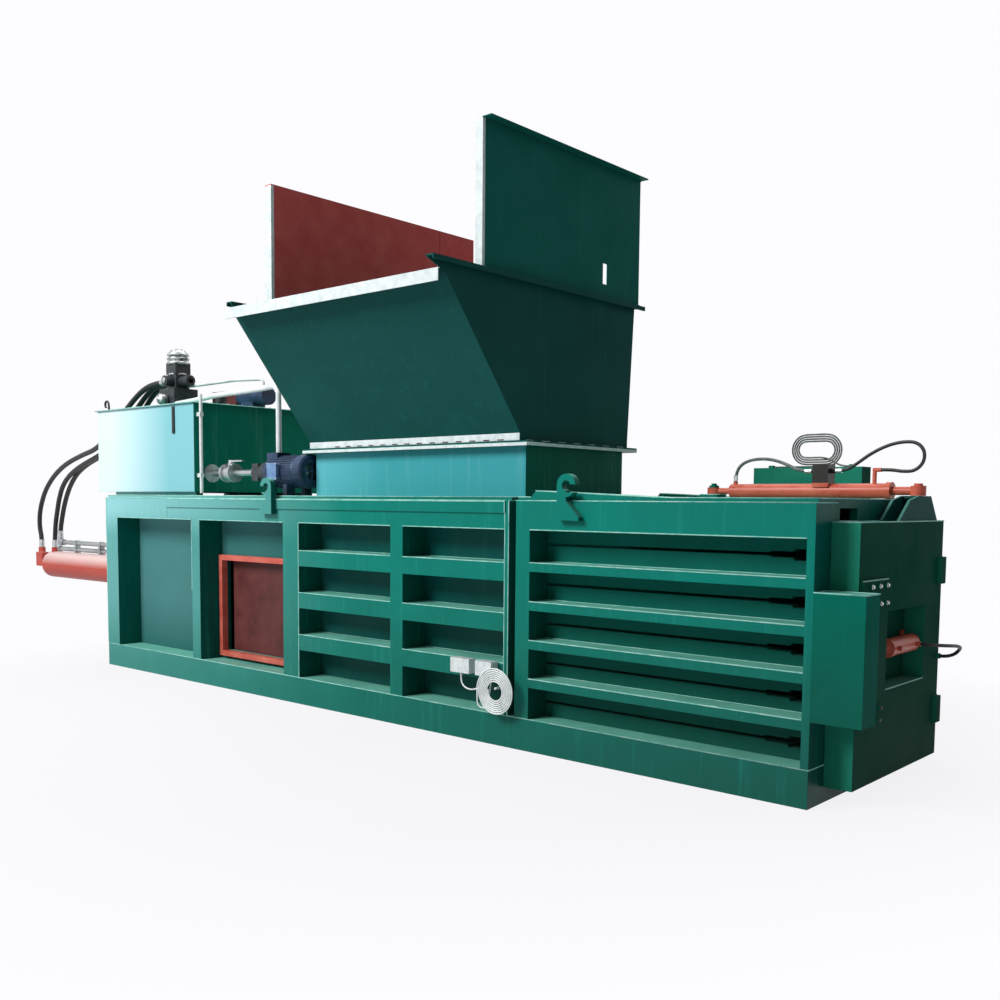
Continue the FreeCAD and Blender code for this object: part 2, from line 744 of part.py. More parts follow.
# Feed collar: four walls and a wide flange, open from top to bottom.
collar_x = (feed_x[0] - d.collar_wall, feed_x[1] + d.collar_wall)
collar_y = (near_wall - d.collar_wall, d.chamber_half + d.collar_wall)
lip_x = (collar_x[0] - d.collar_lip, collar_x[1] + d.collar_lip)
lip_y = (collar_y[0] - d.collar_lip, collar_y[1] + d.collar_lip)
collar_high = d.collar_top + d.collar_flange
pieces = [box("collar_wall_block", collar_x, collar_y, (deck_top, d.collar_top))]
pieces.append(box("collar_flange_block", lip_x, lip_y, (d.collar_top, collar_high)))
collar = fuse("collar_block", pieces)
bore = box("collar_bore", feed_x, inner, (deck_top - 5, collar_high + 5))
feed_collar = cut("feed_collar", collar, [bore])

# Hopper: a foot flange and skirt, a wide sloping near wall, a steep far wall and two upright sides.
foot_top = collar_high + d.hopper_foot
pieces = []
foot = box("hopper_foot_block", lip_x, lip_y, (collar_high, foot_top))
foot_bore = box("hopper_foot_bore", feed_x, inner, (collar_high - 5, foot_top + 5))
pieces.append(cut("hopper_foot_ring", foot, [foot_bore]))
wall = d.hopper_wall
side_y = [(-d.throat_half, foot_top), (d.throat_half, foot_top), (d.throat_half, d.throat_top)]
side_y.append((d.far_top_y, d.rim_top))
side_near = [(-d.near_top_y, d.near_top_z), (-d.throat_half, d.throat_top)]
left_side = side_y + [(-d.ear_left, d.rim_top)] + side_near
right_side = side_y + [(-d.ear_reach, d.rim_top)] + side_near
pieces.append(plate("hopper_side_left", "YZ", left_side, collar_x[0], wall))
pieces.append(plate("hopper_side_right", "YZ", right_side, collar_x[1] - wall, wall))
slope_run = float(d.near_top_y - d.throat_half)
slope_rise = float(d.near_top_z - d.throat_top)
slope = math.hypot(slope_run, slope_rise)
shift = float(wall) * slope / slope_rise
near_line = [(-d.throat_half, foot_top), (-d.throat_half, d.throat_top), (-d.near_top_y, d.near_top_z)]
near_back = [(-d.near_top_y + shift, d.near_top_z), (-d.throat_half + shift, d.throat_top)]
near_back += [(-d.throat_half + shift, foot_top)]
span = collar_x[1] - collar_x[0]
pieces.append(plate("hopper_near", "YZ", near_line + near_back, collar_x[0], span))
far_line = [(d.throat_half, foot_top), (d.throat_half, d.throat_top), (d.far_top_y, d.rim_top)]
far_back = [(d.far_top_y - wall, d.rim_top), (d.throat_half - wall, d.throat_top), (d.throat_half - wall, foot_top)]
pieces.append(plate("hopper_far", "YZ", far_line + far_back, collar_x[0], span))
rim_near = -d.near_top_y - d.near_flange
near_flange_z = (d.near_top_z, d.near_top_z + wall)
pieces.append(box("near_rim", collar_x, (rim_near, -d.near_top_y + wall), near_flange_z))
lip_z = (d.near_top_z + wall - d.near_lip, d.near_top_z + wall)
pieces.append(box("near_rim_lip", collar_x, (rim_near, rim_near + wall), lip_z))
rim_z = (d.rim_top, d.rim_top + wall)
rim_y = (-d.ear_reach, d.far_top_y + d.rim_flange)
left_rim_y = (-d.ear_left, d.far_top_y + d.rim_flange)
pieces.append(box("rim_left", (collar_x[0] - d.rim_flange, collar_x[0] + wall), left_rim_y, rim_z))
pieces.append(box("rim_right", (collar_x[1] - wall, collar_x[1] + d.rim_flange), rim_y, rim_z))
edge_z = (d.rim_top - d.rim_lip, d.rim_top)
left_edge = collar_x[0] - d.rim_flange
right_edge = collar_x[1] + d.rim_flange
pieces.append(box("rim_left_lip", (left_edge, left_edge + wall), left_rim_y, edge_z))
pieces.append(box("rim_right_lip", (right_edge - wall, right_edge), rim_y, edge_z))
pieces.append(box("rim_far", collar_x, (d.far_top_y - wall, d.far_top_y + d.rim_flange), rim_z))
feed_hopper = fuse("feed_hopper", pieces)

# Guards: folded upright plates that stand on the side rims of the hopper.
rim_high = d.rim_top + wall
guard = d.guard_sheet
guard_z = (rim_high, d.guard_top)
right_x = (collar_x[1] - guard, collar_x[1])
right_y = (-d.right_near, d.right_far)
pieces = [box("right_sheet", right_x, right_y, guard_z)]
pieces.append(box("right_fold", (collar_x[1] - d.guard_fold, collar_x[1]), (-d.right_near, guard - d.right_near), guard_z))
flange_x = (collar_x[1] - guard, collar_x[1] + d.guard_flange)
pieces.append(box("right_flange", flange_x, right_y, (d.guard_top, d.guard_top + guard)))
foot_x = (collar_x[1], collar_x[1] + d.guard_foot)
foot_y = (-d.right_near, d.far_top_y)
pieces.append(box("right_foot", foot_x, foot_y, (rim_high, rim_high + guard)))
right_full = fuse("right_guard_full", pieces)
slot_y = (241, 241 + d.guard_slot_wide)
slot_z = (2744, 2744 + d.guard_slot_high)
slot = box("guard_slot", (right_x[0] - 5, right_x[1] + 5), slot_y, slot_z)
right_guard = cut("right_guard", right_full, [slot])
left_x = (collar_x[0], collar_x[0] + guard)
left_y = (-d.left_near, d.left_far)
pieces = [box("left_sheet", left_x, left_y, guard_z)]
pieces.append(box("left_fold", (left_x[1] - d.left_fold, left_x[1]), (-d.left_near, guard - d.left_near), guard_z))
flange_x = (collar_x[0] - d.guard_flange, collar_x[0] + guard)
pieces.append(box("left_flange", flange_x, left_y, (d.guard_top, d.guard_top + guard)))
foot_x = (collar_x[0] - d.guard_foot, collar_x[0])
pieces.append(box("left_foot", foot_x, (-d.left_near, d.far_top_y), (rim_high, rim_high + guard)))
left_guard = fuse("left_guard", pieces)

# Lifting hooks: thick plates with an open eye, two on each side.
pieces = []
for name, start, side, front in (("rear", d.hook_one, 1, near_face - d.strip_proud), ("front", d.hook_two, -1, near_face)):
    low = d.hook_low
    high = low + d.hook_tall
    centre_z = high - d.hook_round
    if side == 1:
        back = at_x(start) + d.hook_width
        centre_x = back - d.hook_round
    else:
        back = at_x(start)
        centre_x = back + d.hook_round
    wide = d.hook_width * side
    shank = [(back, low), (back - wide, low), (back - wide, low + 20), (centre_x, low + 105)]
    shank += [(centre_x, centre_z), (back, centre_z)]
    hook_y = front - d.hook_plate
    body = [plate("hook_shank_" + name, "XZ", shank, hook_y, d.hook_plate)]
    body.append(rod("hook_head_" + name, "Y", (centre_x, hook_y, centre_z), d.hook_round, d.hook_plate))
    whole = fuse("hook_whole_" + name, body)
    eye = rod("hook_eye_" + name, "Y", (centre_x, hook_y - 5, centre_z), d.hook_hole, d.hook_plate + 10)
    tip = centre_x - side * (d.hook_round + 10)
    slot_low = centre_z - d.hook_hole - 10
    slot_ends = (tip, centre_x) if side == 1 else (centre_x, tip)
    mouth_slot = box("hook_mouth_" + name, slot_ends, (hook_y - 5, front + 5), (slot_low, slot_low + 42))
    pieces.append(cut("hook_" + name, whole, [eye, mouth_slot]))
pieces.append(far_side("hook_rear_far", pieces[0]))
hook_away = far_side("hook_front_mirrored", pieces[1])
pieces.append(moved("hook_front_far", hook_away, d.far_hook_shift))
lifting_hooks = fuse("lifting_hooks", pieces)

# Oil tank on two rails, with an overhanging lid.
tank_x = (at_x(d.tank_back), at_x(d.tank_front))
tank_y = (-d.tank_near, d.tank_far)
pieces = [box("tank_shell", tank_x, tank_y, (d.tank_low, d.tank_high))]
lid_x = (tank_x[0] - d.lid_over, tank_x[1] + d.lid_over)
lid_y = (tank_y[0] - d.lid_over, tank_y[1] + d.lid_over)
lid_top = d.tank_high + d.tank_lid
pieces.append(box("tank_lid_plate", lid_x, lid_y, (d.tank_high, lid_top)))
rail_x = (x_rear, tank_x[1] - 40)
pieces.append(box("tank_rail_near", rail_x, (tank_y[0] + 40, tank_y[0] + 40 + d.rail_wide), (deck_top, d.tank_low)))
pieces.append(box("tank_rail_far", rail_x, (tank_y[1] - 40 - d.rail_wide, tank_y[1] - 40), (deck_top, d.tank_low)))
oil_tank = fuse("oil_tank", pieces)

# Tank fittings: level gauge, bent lifting rod, drain plug and breather.
gauge_x = (at_x(d.gauge_at), at_x(d.gauge_at) + d.gauge_wide)
gauge_y = (tank_y[0] - d.gauge_deep, tank_y[0])
pieces = [box("level_gauge", gauge_x, gauge_y, (d.gauge_low, d.gauge_high))]
lug_x = float(at_x(-60))
lug_y = float(tank_y[0]) + 25
lug = [(lug_x, lug_y, float(lid_top)), (lug_x, lug_y, 2172), (lug_x - 14, lug_y, 2206), (lug_x - 52, lug_y, 2204)]
lug += [(lug_x - 62, lug_y, 2172), (lug_x - 48, lug_y, 2156)]
pieces.append(hose("lifting_rod", lug, 9))
pieces.append(rod("drain_plug", "X", (tank_x[0] - 22, tank_y[0] + 90, 1660), 16, 22))
pieces.append(rod("breather_neck", "Z", (at_x(d.breather_at), d.breather_y, lid_top), 22, 30))
pieces.append(rod("breather_cap", "Z", (at_x(d.breather_at), d.breather_y, lid_top + 30), 42, 40))
pieces.append(rod("return_filter", "Z", (at_x(250), -120, lid_top), 55, 60))
tank_fittings = fuse("tank_fittings", pieces)

# Valve stack on the tank: a manifold block with stacked valves, coils and a pilot dome.
stack_x = at_x(d.stack_at)
half = d.stack_half
manifold_top = lid_top + d.manifold_high
pieces = [box("manifold_block", (stack_x - half, stack_x + half), (d.stack_y - half, d.stack_y + half), (lid_top, manifold_top))]
pieces.append(rod("relief_valve", "Y", (stack_x, d.stack_y - half - 70, lid_top + 80), 34, 70))
valve_manifold = fuse("valve_manifold", pieces)
half = d.valve_half
valve_top = manifold_top + 120
pieces = [box("valve_body", (stack_x - half, stack_x + half), (d.stack_y - half, d.stack_y + half), (manifold_top, valve_top))]
coil_z = manifold_top + 62
port_x = stack_x - half - d.port_high
port_ways = (d.stack_y - d.port_space, d.stack_y, d.stack_y + d.port_space)
for index, across in enumerate(port_ways):
    pieces.append(rod("stack_port_%d" % index, "X", (port_x, across, coil_z), d.hose_radius, d.port_high))
pieces.append(rod("coil_front", "X", (stack_x + half, d.stack_y, coil_z), d.coil_radius, d.coil_long))
pieces.append(rod("coil_near", "Y", (stack_x, d.stack_y - half - 70, coil_z), d.coil_radius, 70))
cap_top = valve_top + 90
pieces.append(box("cap_block", (stack_x - 70, stack_x + 70), (d.stack_y - 70, d.stack_y + 70), (valve_top, cap_top)))
pieces.append(rod("pilot_barrel", "Z", (stack_x, d.stack_y, cap_top), d.dome_radius - 8, 60))
dome = doc.addObject("Part::Sphere", "pilot_dome")
bind(dome, "Radius", d.dome_radius - 8)
settle(dome, stack_x, d.stack_y, cap_top + 60)
pieces.append(dome)
solenoid_valves = fuse("solenoid_valves", pieces)

# Cooler set on the lid: a small motor and its pump on a foot.
cooler_x = (at_x(d.cooler_start), at_x(d.cooler_end))
cool = (cooler_x[0], d.cooler_y, d.cooler_axis)
pieces = [rod("cooler_frame", "X", cool, d.cooler_radius, d.cooler_end - d.cooler_start)]
foot_y = (d.cooler_y - 60, d.cooler_y + 60)
pieces.append(box("cooler_foot", (cooler_x[0] + 60, cooler_x[0] + 220), foot_y, (lid_top, d.cooler_axis - 40)))
cooler_motor = fuse("cooler_motor", pieces)
half = d.cooler_pump_half
pump_x = (at_x(d.cooler_pump_start), cooler_x[0])
pieces = [box("cooler_housing", pump_x, (d.cooler_y - half, d.cooler_y + half), (d.cooler_axis - half, d.cooler_axis + half))]
pieces.append(box("cooler_pad", (pump_x[0] + 20, pump_x[1] - 100), (d.cooler_y - 50, d.cooler_y + 50), (lid_top, d.cooler_axis - half)))
cooler_pump = fuse("cooler_pump", pieces)

# Drive motor: a flanged electric motor with feet and a terminal box.
drive = (at_x(d.motor_start), d.drive_y, d.drive_z)
motor_long = d.motor_end - d.motor_start
r_shaft = d.shaft_radius + d.rod_gap
profile = [(0, r_shaft), (0, d.bell_radius + 12), (18, d.bell_radius + 12), (18, d.motor_radius - 8)]
profile += [(40, d.motor_radius), (motor_long - 20, d.motor_radius), (motor_long, d.motor_radius - 8), (motor_long, r_shaft)]
pieces = [turned("motor_frame", drive, "X", profile)]
for index in range(2):
    start = at_x(d.motor_start) + 60 + (motor_long - 120 - d.foot_wide) * index
    ends = (start, start + d.foot_wide)
    pieces.append(box("motor_foot_near_%d" % index, ends, (d.drive_y - 110, d.drive_y - 50), (deck_top, d.drive_z - 90)))
    pieces.append(box("motor_foot_far_%d" % index, ends, (d.drive_y + 50, d.drive_y + 110), (deck_top, d.drive_z - 90)))
term_x = at_x(d.motor_start) + 60
term_top = d.drive_z + d.motor_radius + 24
half = d.box_half
pieces.append(box("terminal_box", (term_x - half, term_x + half), (d.drive_y - half, d.drive_y + half), (d.drive_z + d.motor_radius - 30, term_top)))
drive_full = fuse("drive_motor_full", pieces)
shaft_way = rod("shaft_way", "X", (drive[0] - 5, d.drive_y, d.drive_z), r_shaft, motor_long + 10)
drive_motor = cut("drive_motor", drive_full, [shaft_way])

# Fan cowl of the motor: a thin cup with an air grille.
cowl_long = d.cowl_end - d.motor_end
rim = d.fan_radius + 3
profile = [(0, rim), (0, d.cowl_radius), (cowl_long - 12, d.cowl_radius), (cowl_long, d.cowl_radius - 14)]
profile += [(cowl_long, 60), (cowl_long - d.cowl_wall, 60), (cowl_long - d.cowl_wall, d.cowl_radius - 14), (cowl_long - 14, d.cowl_radius - d.cowl_wall)]
profile += [(d.cowl_wall, d.cowl_radius - d.cowl_wall), (d.cowl_wall, rim)]
cowl_at = (at_x(d.motor_end), d.drive_y, d.drive_z)
cowl_cup = turned("cowl_cup", cowl_at, "X", profile)
pieces = [cowl_cup]
bar_x = (cowl_at[0] + cowl_long - d.cowl_wall, cowl_at[0] + cowl_long)
pieces.append(box("grille_bar_one", bar_x, (d.drive_y - 70, d.drive_y + 70), (d.drive_z - 6, d.drive_z + 6)))
pieces.append(box("grille_bar_two", bar_x, (d.drive_y - 6, d.drive_y + 6), (d.drive_z - 70, d.drive_z + 70)))
motor_cowl = fuse("motor_cowl", pieces)

# Turning parts of the motor: shaft, fan and shaft coupling.
coupling_start = at_x(d.bell_start) + 30
shaft_long = at_x(d.motor_end) + 60 - coupling_start
pieces = [rod("motor_shaft", "X", (coupling_start, d.drive_y, d.drive_z), d.shaft_radius, shaft_long)]
pieces.append(rod("coupling_half", "X", (coupling_start, d.drive_y, d.drive_z), d.coupling_radius, 60))
pieces.append(rod("cooling_fan", "X", (at_x(d.motor_end) + 30, d.drive_y, d.drive_z), d.fan_radius, d.fan_thick))
motor_rotor = fuse("motor_rotor", pieces)

# Bell housing between motor and pump.
bell_long = d.motor_start - d.bell_start
inner_r = d.bell_radius - d.bell_wall
profile = [(0, 0), (0, d.bell_radius - 20), (bell_long, d.bell_radius), (bell_long, inner_r), (d.bell_wall, inner_r - 20), (d.bell_wall, 0)]
bell = turned("bell_housing", (at_x(d.bell_start), d.drive_y, d.drive_z), "X", profile)

# Oil pump: a square gear pump body with its round cover.
half = d.pump_half
pump_ends = (at_x(d.pump_start), at_x(d.bell_start))
pieces = [box("pump_body", (pump_ends[0] + 25, pump_ends[1]), (d.drive_y - half, d.drive_y + half), (d.drive_z - half, d.drive_z + half))]
pieces.append(rod("pump_cover", "X", (pump_ends[0], d.drive_y, d.drive_z), d.pump_half - 8, 25))
pieces.append(bell)
oil_pump = fuse("oil_pump", pieces)

# Suction line: pipe from the tank, shut-off valve body with flanges, pipe to the pump.
pieces = []
line = d.suction_radius
pipe_one = (at_x(d.tank_front), d.drive_y, d.drive_z)
pieces.append(rod("suction_rear", "X", pipe_one, line, d.valve_start - d.tank_front))
pieces.append(rod("suction_front", "X", (at_x(d.valve_end), d.drive_y, d.drive_z), line, d.pump_start - d.valve_end))
pieces.append(rod("tank_flange", "X", pipe_one, d.valve_flange, 18))
valve_long = d.valve_end - d.valve_start
pieces.append(rod("valve_barrel", "X", (at_x(d.valve_start), d.drive_y, d.drive_z), d.valve_radius, valve_long))
pieces.append(rod("valve_flange_rear", "X", (at_x(d.valve_start), d.drive_y, d.drive_z), d.valve_flange, 22))
pieces.append(rod("valve_flange_front", "X", (at_x(d.valve_end) - 22, d.drive_y, d.drive_z), d.valve_flange, 22))
pieces.append(rod("joint_flange_pump", "X", (at_x(d.pump_start) - 20, d.drive_y, d.drive_z), 44, 20))
stem_x = at_x(d.valve_start) + valve_long / 2
pieces.append(rod("stem_boss", "Z", (stem_x, d.drive_y, d.drive_z), 24, d.valve_radius + 20))
suction_full = fuse("suction_line_full", pieces)
stem_low = d.drive_z + 30
stem_hole = rod("stem_hole", "Z", (stem_x, d.drive_y, stem_low), d.stem_radius + d.rod_gap, 60)
suction_line = cut("suction_line", suction_full, [stem_hole])

# Valve lever: stem and handle, turning a quarter turn.
boss_top = d.drive_z + d.valve_radius + 20
pieces = [rod("lever_stem", "Z", (stem_x, d.drive_y, stem_low + 1), d.stem_radius, boss_top + 20 - stem_low)]
pieces.append(rod("lever_hub", "Z", (stem_x, d.drive_y, boss_top + 1), 20, 20))
pieces.append(box("lever_bar", (stem_x, stem_x + d.lever_long), (d.drive_y - 12, d.drive_y + 12), (boss_top + 8, boss_top + 20)))
valve_lever = fuse("valve_lever", pieces)

# Main cylinder barrel: closed rear cap with a bevel, long bore, mounting flange inside the rear wall.
barrel_at = (at_x(-d.cyl_back), 0, d.cyl_z)
barrel_long = d.cyl_back + d.cyl_front
profile = [(0, 0), (0, d.cyl_radius - d.cap_bevel), (d.cap_bevel, d.cyl_radius), (barrel_long, d.cyl_radius)]
profile += [(barrel_long, d.cyl_bore), (d.cap_thick, d.cyl_bore), (d.cap_thick, 0)]
pieces = [turned("barrel_tube", barrel_at, "X", profile)]
plate_x = x_rear + d.rear_plate
pieces.append(rod("barrel_flange", "X", (plate_x, 0, d.cyl_z), d.mount_radius, d.mount_thick))
rear_port_x = barrel_at[0] - d.port_block_reach
second_port_x = at_x(d.second_port_at)
block_reach = (rear_port_x - d.port_block_half, barrel_at[0] + 2)
block_side = (d.rear_port_y - d.port_block_half, d.rear_port_y + d.port_block_half)
port_foot = d.cyl_z + d.cyl_radius - 10
pieces.append(box("rear_port_block", block_reach, block_side, (d.cyl_z - 20, port_foot)))
pieces.append(rod("rear_port", "Z", (rear_port_x, d.rear_port_y, port_foot), d.port_radius, d.port_high + 10))
pieces.append(rod("second_port", "Z", (second_port_x, -10, d.cyl_z + d.cyl_radius - 10), d.port_radius, d.port_high + 10))
barrel_full = fuse("barrel_full", pieces)
bore_start = barrel_at[0] + d.cap_thick
bore_cut = rod("barrel_bore", "X", (bore_start, 0, d.cyl_z), d.cyl_bore, barrel_long - d.cap_thick + 1)
pipe_gap_y = d.pipe_radius + d.wall_gap
pipe_slot = box("pipe_notch", (plate_x - 5, plate_x + d.mount_thick + 5), (-pipe_gap_y, pipe_gap_y), (d.cyl_z + d.cyl_radius + 5, d.cyl_z + d.mount_radius + 5))
main_barrel = cut("main_barrel", barrel_full, [bore_cut, pipe_slot])

# Cylinder head with the rod bore.
head_long = d.head_end - d.cyl_front
gland = d.rod_radius + d.rod_gap
profile = [(0, gland), (0, d.head_radius), (head_long - 15, d.head_radius), (head_long, d.head_radius - 15), (head_long, gland)]
cylinder_head = turned("cylinder_head", (at_x(d.cyl_front), 0, d.cyl_z), "X", profile)

# Piston and rod in one turned piece, with the end flange inside the ram.
piston_at = d.cap_thick + d.piston_start
rod_end = d.cyl_back + d.ram_back
fit = d.cyl_bore - d.piston_gap
profile = [(piston_at, 0), (piston_at, fit), (piston_at + d.piston_long, fit), (piston_at + d.piston_long, d.rod_radius)]
profile += [(rod_end, d.rod_radius), (rod_end, 0)]
main_rod = turned("main_rod", barrel_at, "X", profile)

# Cradle under the barrel.
cradle_x = (at_x(d.cradle_at), at_x(d.cradle_at) + d.cradle_thick)
cradle = box("cradle_plate", cradle_x, (-260, 260), (d.floor_beam, d.cyl_z))
seat = rod("cradle_seat", "X", (cradle_x[0] - 5, 0, d.cyl_z), d.cyl_radius, d.cradle_thick + 10)
cylinder_cradle = cut("cylinder_cradle", cradle, [seat])

# Oil pipes: the upper one to the cylinder head, the lower one along the barrel to the head's side.
pieces = []
low_z = float(d.cyl_z + pipe_rise)
high_z = float(d.cyl_z + high_rise)
head_x = float(at_x(d.cyl_front)) + 40
start_x = float(at_x(-2230))
lower_start = at_x(-2230)
block_x = (at_x(d.cyl_front) - 50, at_x(d.cyl_front) - d.seat_gap)
lower_z = d.cyl_z + pipe_rise
pieces.append(rod("lower_pipe", "X", (lower_start, 0, lower_z), d.pipe_radius, block_x[0] - lower_start))
pieces.append(box("pipe_block", block_x, (-30, 30), (d.cyl_z + d.cyl_radius - 3, lower_z + d.pipe_radius)))
head_top = float(d.cyl_z + d.head_radius + d.seat_gap)
pieces.append(hose("upper_pipe", [(start_x + 10, 0, high_z), (head_x, 0, high_z), (head_x, 0, head_top)], d.pipe_radius, 50))
fitting_x = lower_start
pieces.append(rod("pipe_fitting", "Z", (fitting_x, 0, high_z - 34), 29, 74))
pieces.append(rod("pipe_nut", "X", (start_x + 40, 0, high_z), 30, 40))
pieces.append(rod("pipe_end", "X", (start_x - 20, 0, low_z), 30, 30))
for index in range(4):
    clamp = at_x(-1900 + 480 * index)
    pieces.append(box("pipe_clamp_%d" % index, (clamp, clamp + 30), (-26, 26), (d.cyl_z + d.cyl_radius - 3, high_z + 26)))
pipes_full = fuse("oil_pipes_full", pieces)
barrel_clear = rod("barrel_clear", "X", (barrel_at[0], 0, d.cyl_z), d.cyl_radius, barrel_long)
oil_pipes = cut("oil_pipes", pipes_full, [barrel_clear])

# Ram: grooved face plate, two side webs, bottom and top plates, centre tube and a trailing cover.
ram_x = (at_x(d.ram_back), at_x(d.ram_front))
side = d.chamber_half - d.ram_side
face_x = (ram_x[1] - d.ram_plate, ram_x[1])
pieces = [box("ram_face", face_x, (-side, side), (d.ram_low, d.ram_high))]
body_x = (ram_x[0], face_x[0])
pieces.append(box("ram_side_near", body_x, (-side, d.ram_web - side), (d.ram_low, d.ram_high)))
pieces.append(box("ram_side_far", body_x, (side - d.ram_web, side), (d.ram_low, d.ram_high)))
pieces.append(box("ram_bottom", body_x, (-side, side), (d.ram_low, d.ram_low + d.ram_web)))
pieces.append(box("ram_top", body_x, (-side, side), (d.ram_high - d.ram_web, d.ram_high)))
pieces.append(rod("ram_tube", "X", (ram_x[0], 0, d.cyl_z), d.ram_tube, face_x[0] - ram_x[0]))
pieces.append(box("ram_spider_flat", body_x, (-side, side), (d.cyl_z - 12, d.cyl_z + 12)))
pieces.append(box("ram_spider_tall", body_x, (-12, 12), (d.ram_low, d.ram_high)))
cover_x = (at_x(d.ram_cover_back), ram_x[0])
pieces.append(box("ram_cover", cover_x, (-side, side), (d.ram_high - d.ram_cover, d.ram_high)))
pad_low = d.floor_beam + d.pad_gap
for index in range(2):
    start = ram_x[0] + 60 + (ram_x[1] - ram_x[0] - 320) * index
    for across in (-330, 250):
        pad_y = (across, across + d.pad_wide)
        pieces.append(box("wear_pad_%d_%d" % (index, across + 400), (start, start + 200), pad_y, (pad_low, d.ram_low)))
ram_full = fuse("ram_full", pieces)
grooves = []
for index in range(5):
    middle = d.slit_one + d.slit_step * index + d.slit_high / 2
    groove_z = (middle - d.ram_groove / 2, middle + d.ram_groove / 2)
    grooves.append(box("wire_groove_%d" % index, (ram_x[1] - d.groove_deep, ram_x[1] + 5), (-side - 5, side + 5), groove_z))
ram = cut("ram", ram_full, grooves)

# Bale door: a thick plate with a pocket for its lock cylinder, sketched and padded.
door_body = doc.addObject("PartDesign::Body", "door_slab")
wide = d.door_half * 2
tall = d.door_high - d.door_low
outline = sketch_loop(door_body, "door_outline", "YZ_Plane", [(0, 0), (wide, 0), (wide, tall), (0, tall)])
slab = door_body.newObject("PartDesign::Pad", "door_pad")
slab.Profile = outline
bind(slab, "Length", d.door_front - d.door_start)
door_body.Tip = slab
doc.recompute()
left = d.pocket_near + d.door_half
right = d.pocket_far + d.door_half
low = d.pocket_low - d.door_low
high = d.pocket_high - d.door_low
pocket_loop = sketch_loop(door_body, "pocket_outline", "YZ_Plane", [(left, low), (right, low), (right, high), (left, high)])
pocket_loop.AttachmentOffset = FreeCAD.Placement(V(0, 0, float(d.pocket_floor - d.door_start)), FreeCAD.Rotation())
pocket_loop.setExpression(".AttachmentOffset.Base.z", (d.pocket_floor - d.door_start).text)
pocket = door_body.newObject("PartDesign::Pocket", "door_pocket")
pocket.Profile = pocket_loop
bind(pocket, "Length", d.door_front - d.pocket_floor + 1)
pocket.Reversed = True
door_body.Tip = pocket
settle(door_body, at_x(d.door_start), -d.door_half, d.door_low)
doc.recompute()
before = float((d.door_front - d.door_start) * wide * tall)
taken = before - door_body.Shape.Volume
asked = float((d.door_front - d.pocket_floor) * (right - left) * (high - low))
print("door pocket: taken %.0f of %.0f" % (taken, asked))

pieces = [door_body]
front_x = at_x(d.door_front)
pieces.append(box("guide_plate", (front_x, front_x + d.guide_plate), (d.guide_near, d.guide_far), (d.guide_low, d.guide_high)))
third = d.hinge_tall / 3
for index, low in enumerate((d.hinge_low, d.hinge_high)):
    middle = (low + third + d.hinge_space, low + third * 2 - d.hinge_space)
    arm_x = (at_x(d.hinge_x) - 22, at_x(d.hinge_x) + 22)
    pieces.append(box("door_arm_%d" % index, arm_x, (d.door_half, d.hinge_y), middle))
    knuckle = (at_x(d.hinge_x), d.hinge_y, middle[0])
    pieces.append(rod("door_knuckle_%d" % index, "Z", knuckle, d.hinge_radius, middle[1] - middle[0]))
strap_y = (d.door_half - d.strap_long, d.door_half)
for index, low in enumerate((d.strap_low, d.strap_high)):
    strap_x = (front_x, front_x + d.strap_thick)
    pieces.append(box("hinge_strap_%d" % index, strap_x, strap_y, (low, low + d.strap_tall)))
studs = []
for across, up in ((-426, 1016), (-337, 1016), (-248, 1016), (-320, 933), (-246, 933), (-284, 437), (-293, 380)):
    spot = (front_x + d.guide_plate, across, up)
    studs.append(rod("guide_bolt_%d" % len(studs), "X", spot, 14, 10))
hose_fitting = (front_x, d.lock_fitting_y, d.lock_fitting_z)
studs.append(rod("hose_fitting", "X", hose_fitting, 14, 16))
pieces += studs
door_full = fuse("door_full", pieces)
tools = []
bolt_y = (-d.door_half - 5, d.pocket_near + 5)
bolt_w = d.bolt_wide / 2 + d.bolt_gap
bolt_t = d.bolt_tall / 2 + d.bolt_gap
bolt_mid = at_x(d.bolt_x)
tools.append(box("bolt_way", (bolt_mid - bolt_w, bolt_mid + bolt_w), bolt_y, (d.bolt_z - bolt_t, d.bolt_z + bolt_t)))
for index, low in enumerate((d.hinge_low, d.hinge_high)):
    start = (at_x(d.hinge_x), d.hinge_y, low)
    tools.append(rod("pin_way_%d" % index, "Z", start, d.hinge_pin + d.hinge_gap, d.hinge_tall))
door = cut("door", door_full, tools)

# Hinge brackets on the end plate: two knuckles with a fixed pin at each hinge.
pieces = []
for index, low in enumerate((d.hinge_low, d.hinge_high)):
    for step in (0, 2):
        start = low + third * step
        spot = (at_x(d.hinge_x), d.hinge_y, start)
        pieces.append(rod("body_knuckle_%d_%d" % (index, step), "Z", spot, d.hinge_radius, third))
        arm_x = (x_end, at_x(d.hinge_x))
        pieces.append(box("body_arm_%d_%d" % (index, step), arm_x, (d.hinge_y - 32, d.hinge_y + 40), (start, start + third)))
    pieces.append(rod("hinge_pin_%d" % index, "Z", (at_x(d.hinge_x), d.hinge_y, low - 8), d.hinge_pin, d.hinge_tall + 16))
hinge_brackets = fuse("hinge_brackets", pieces)

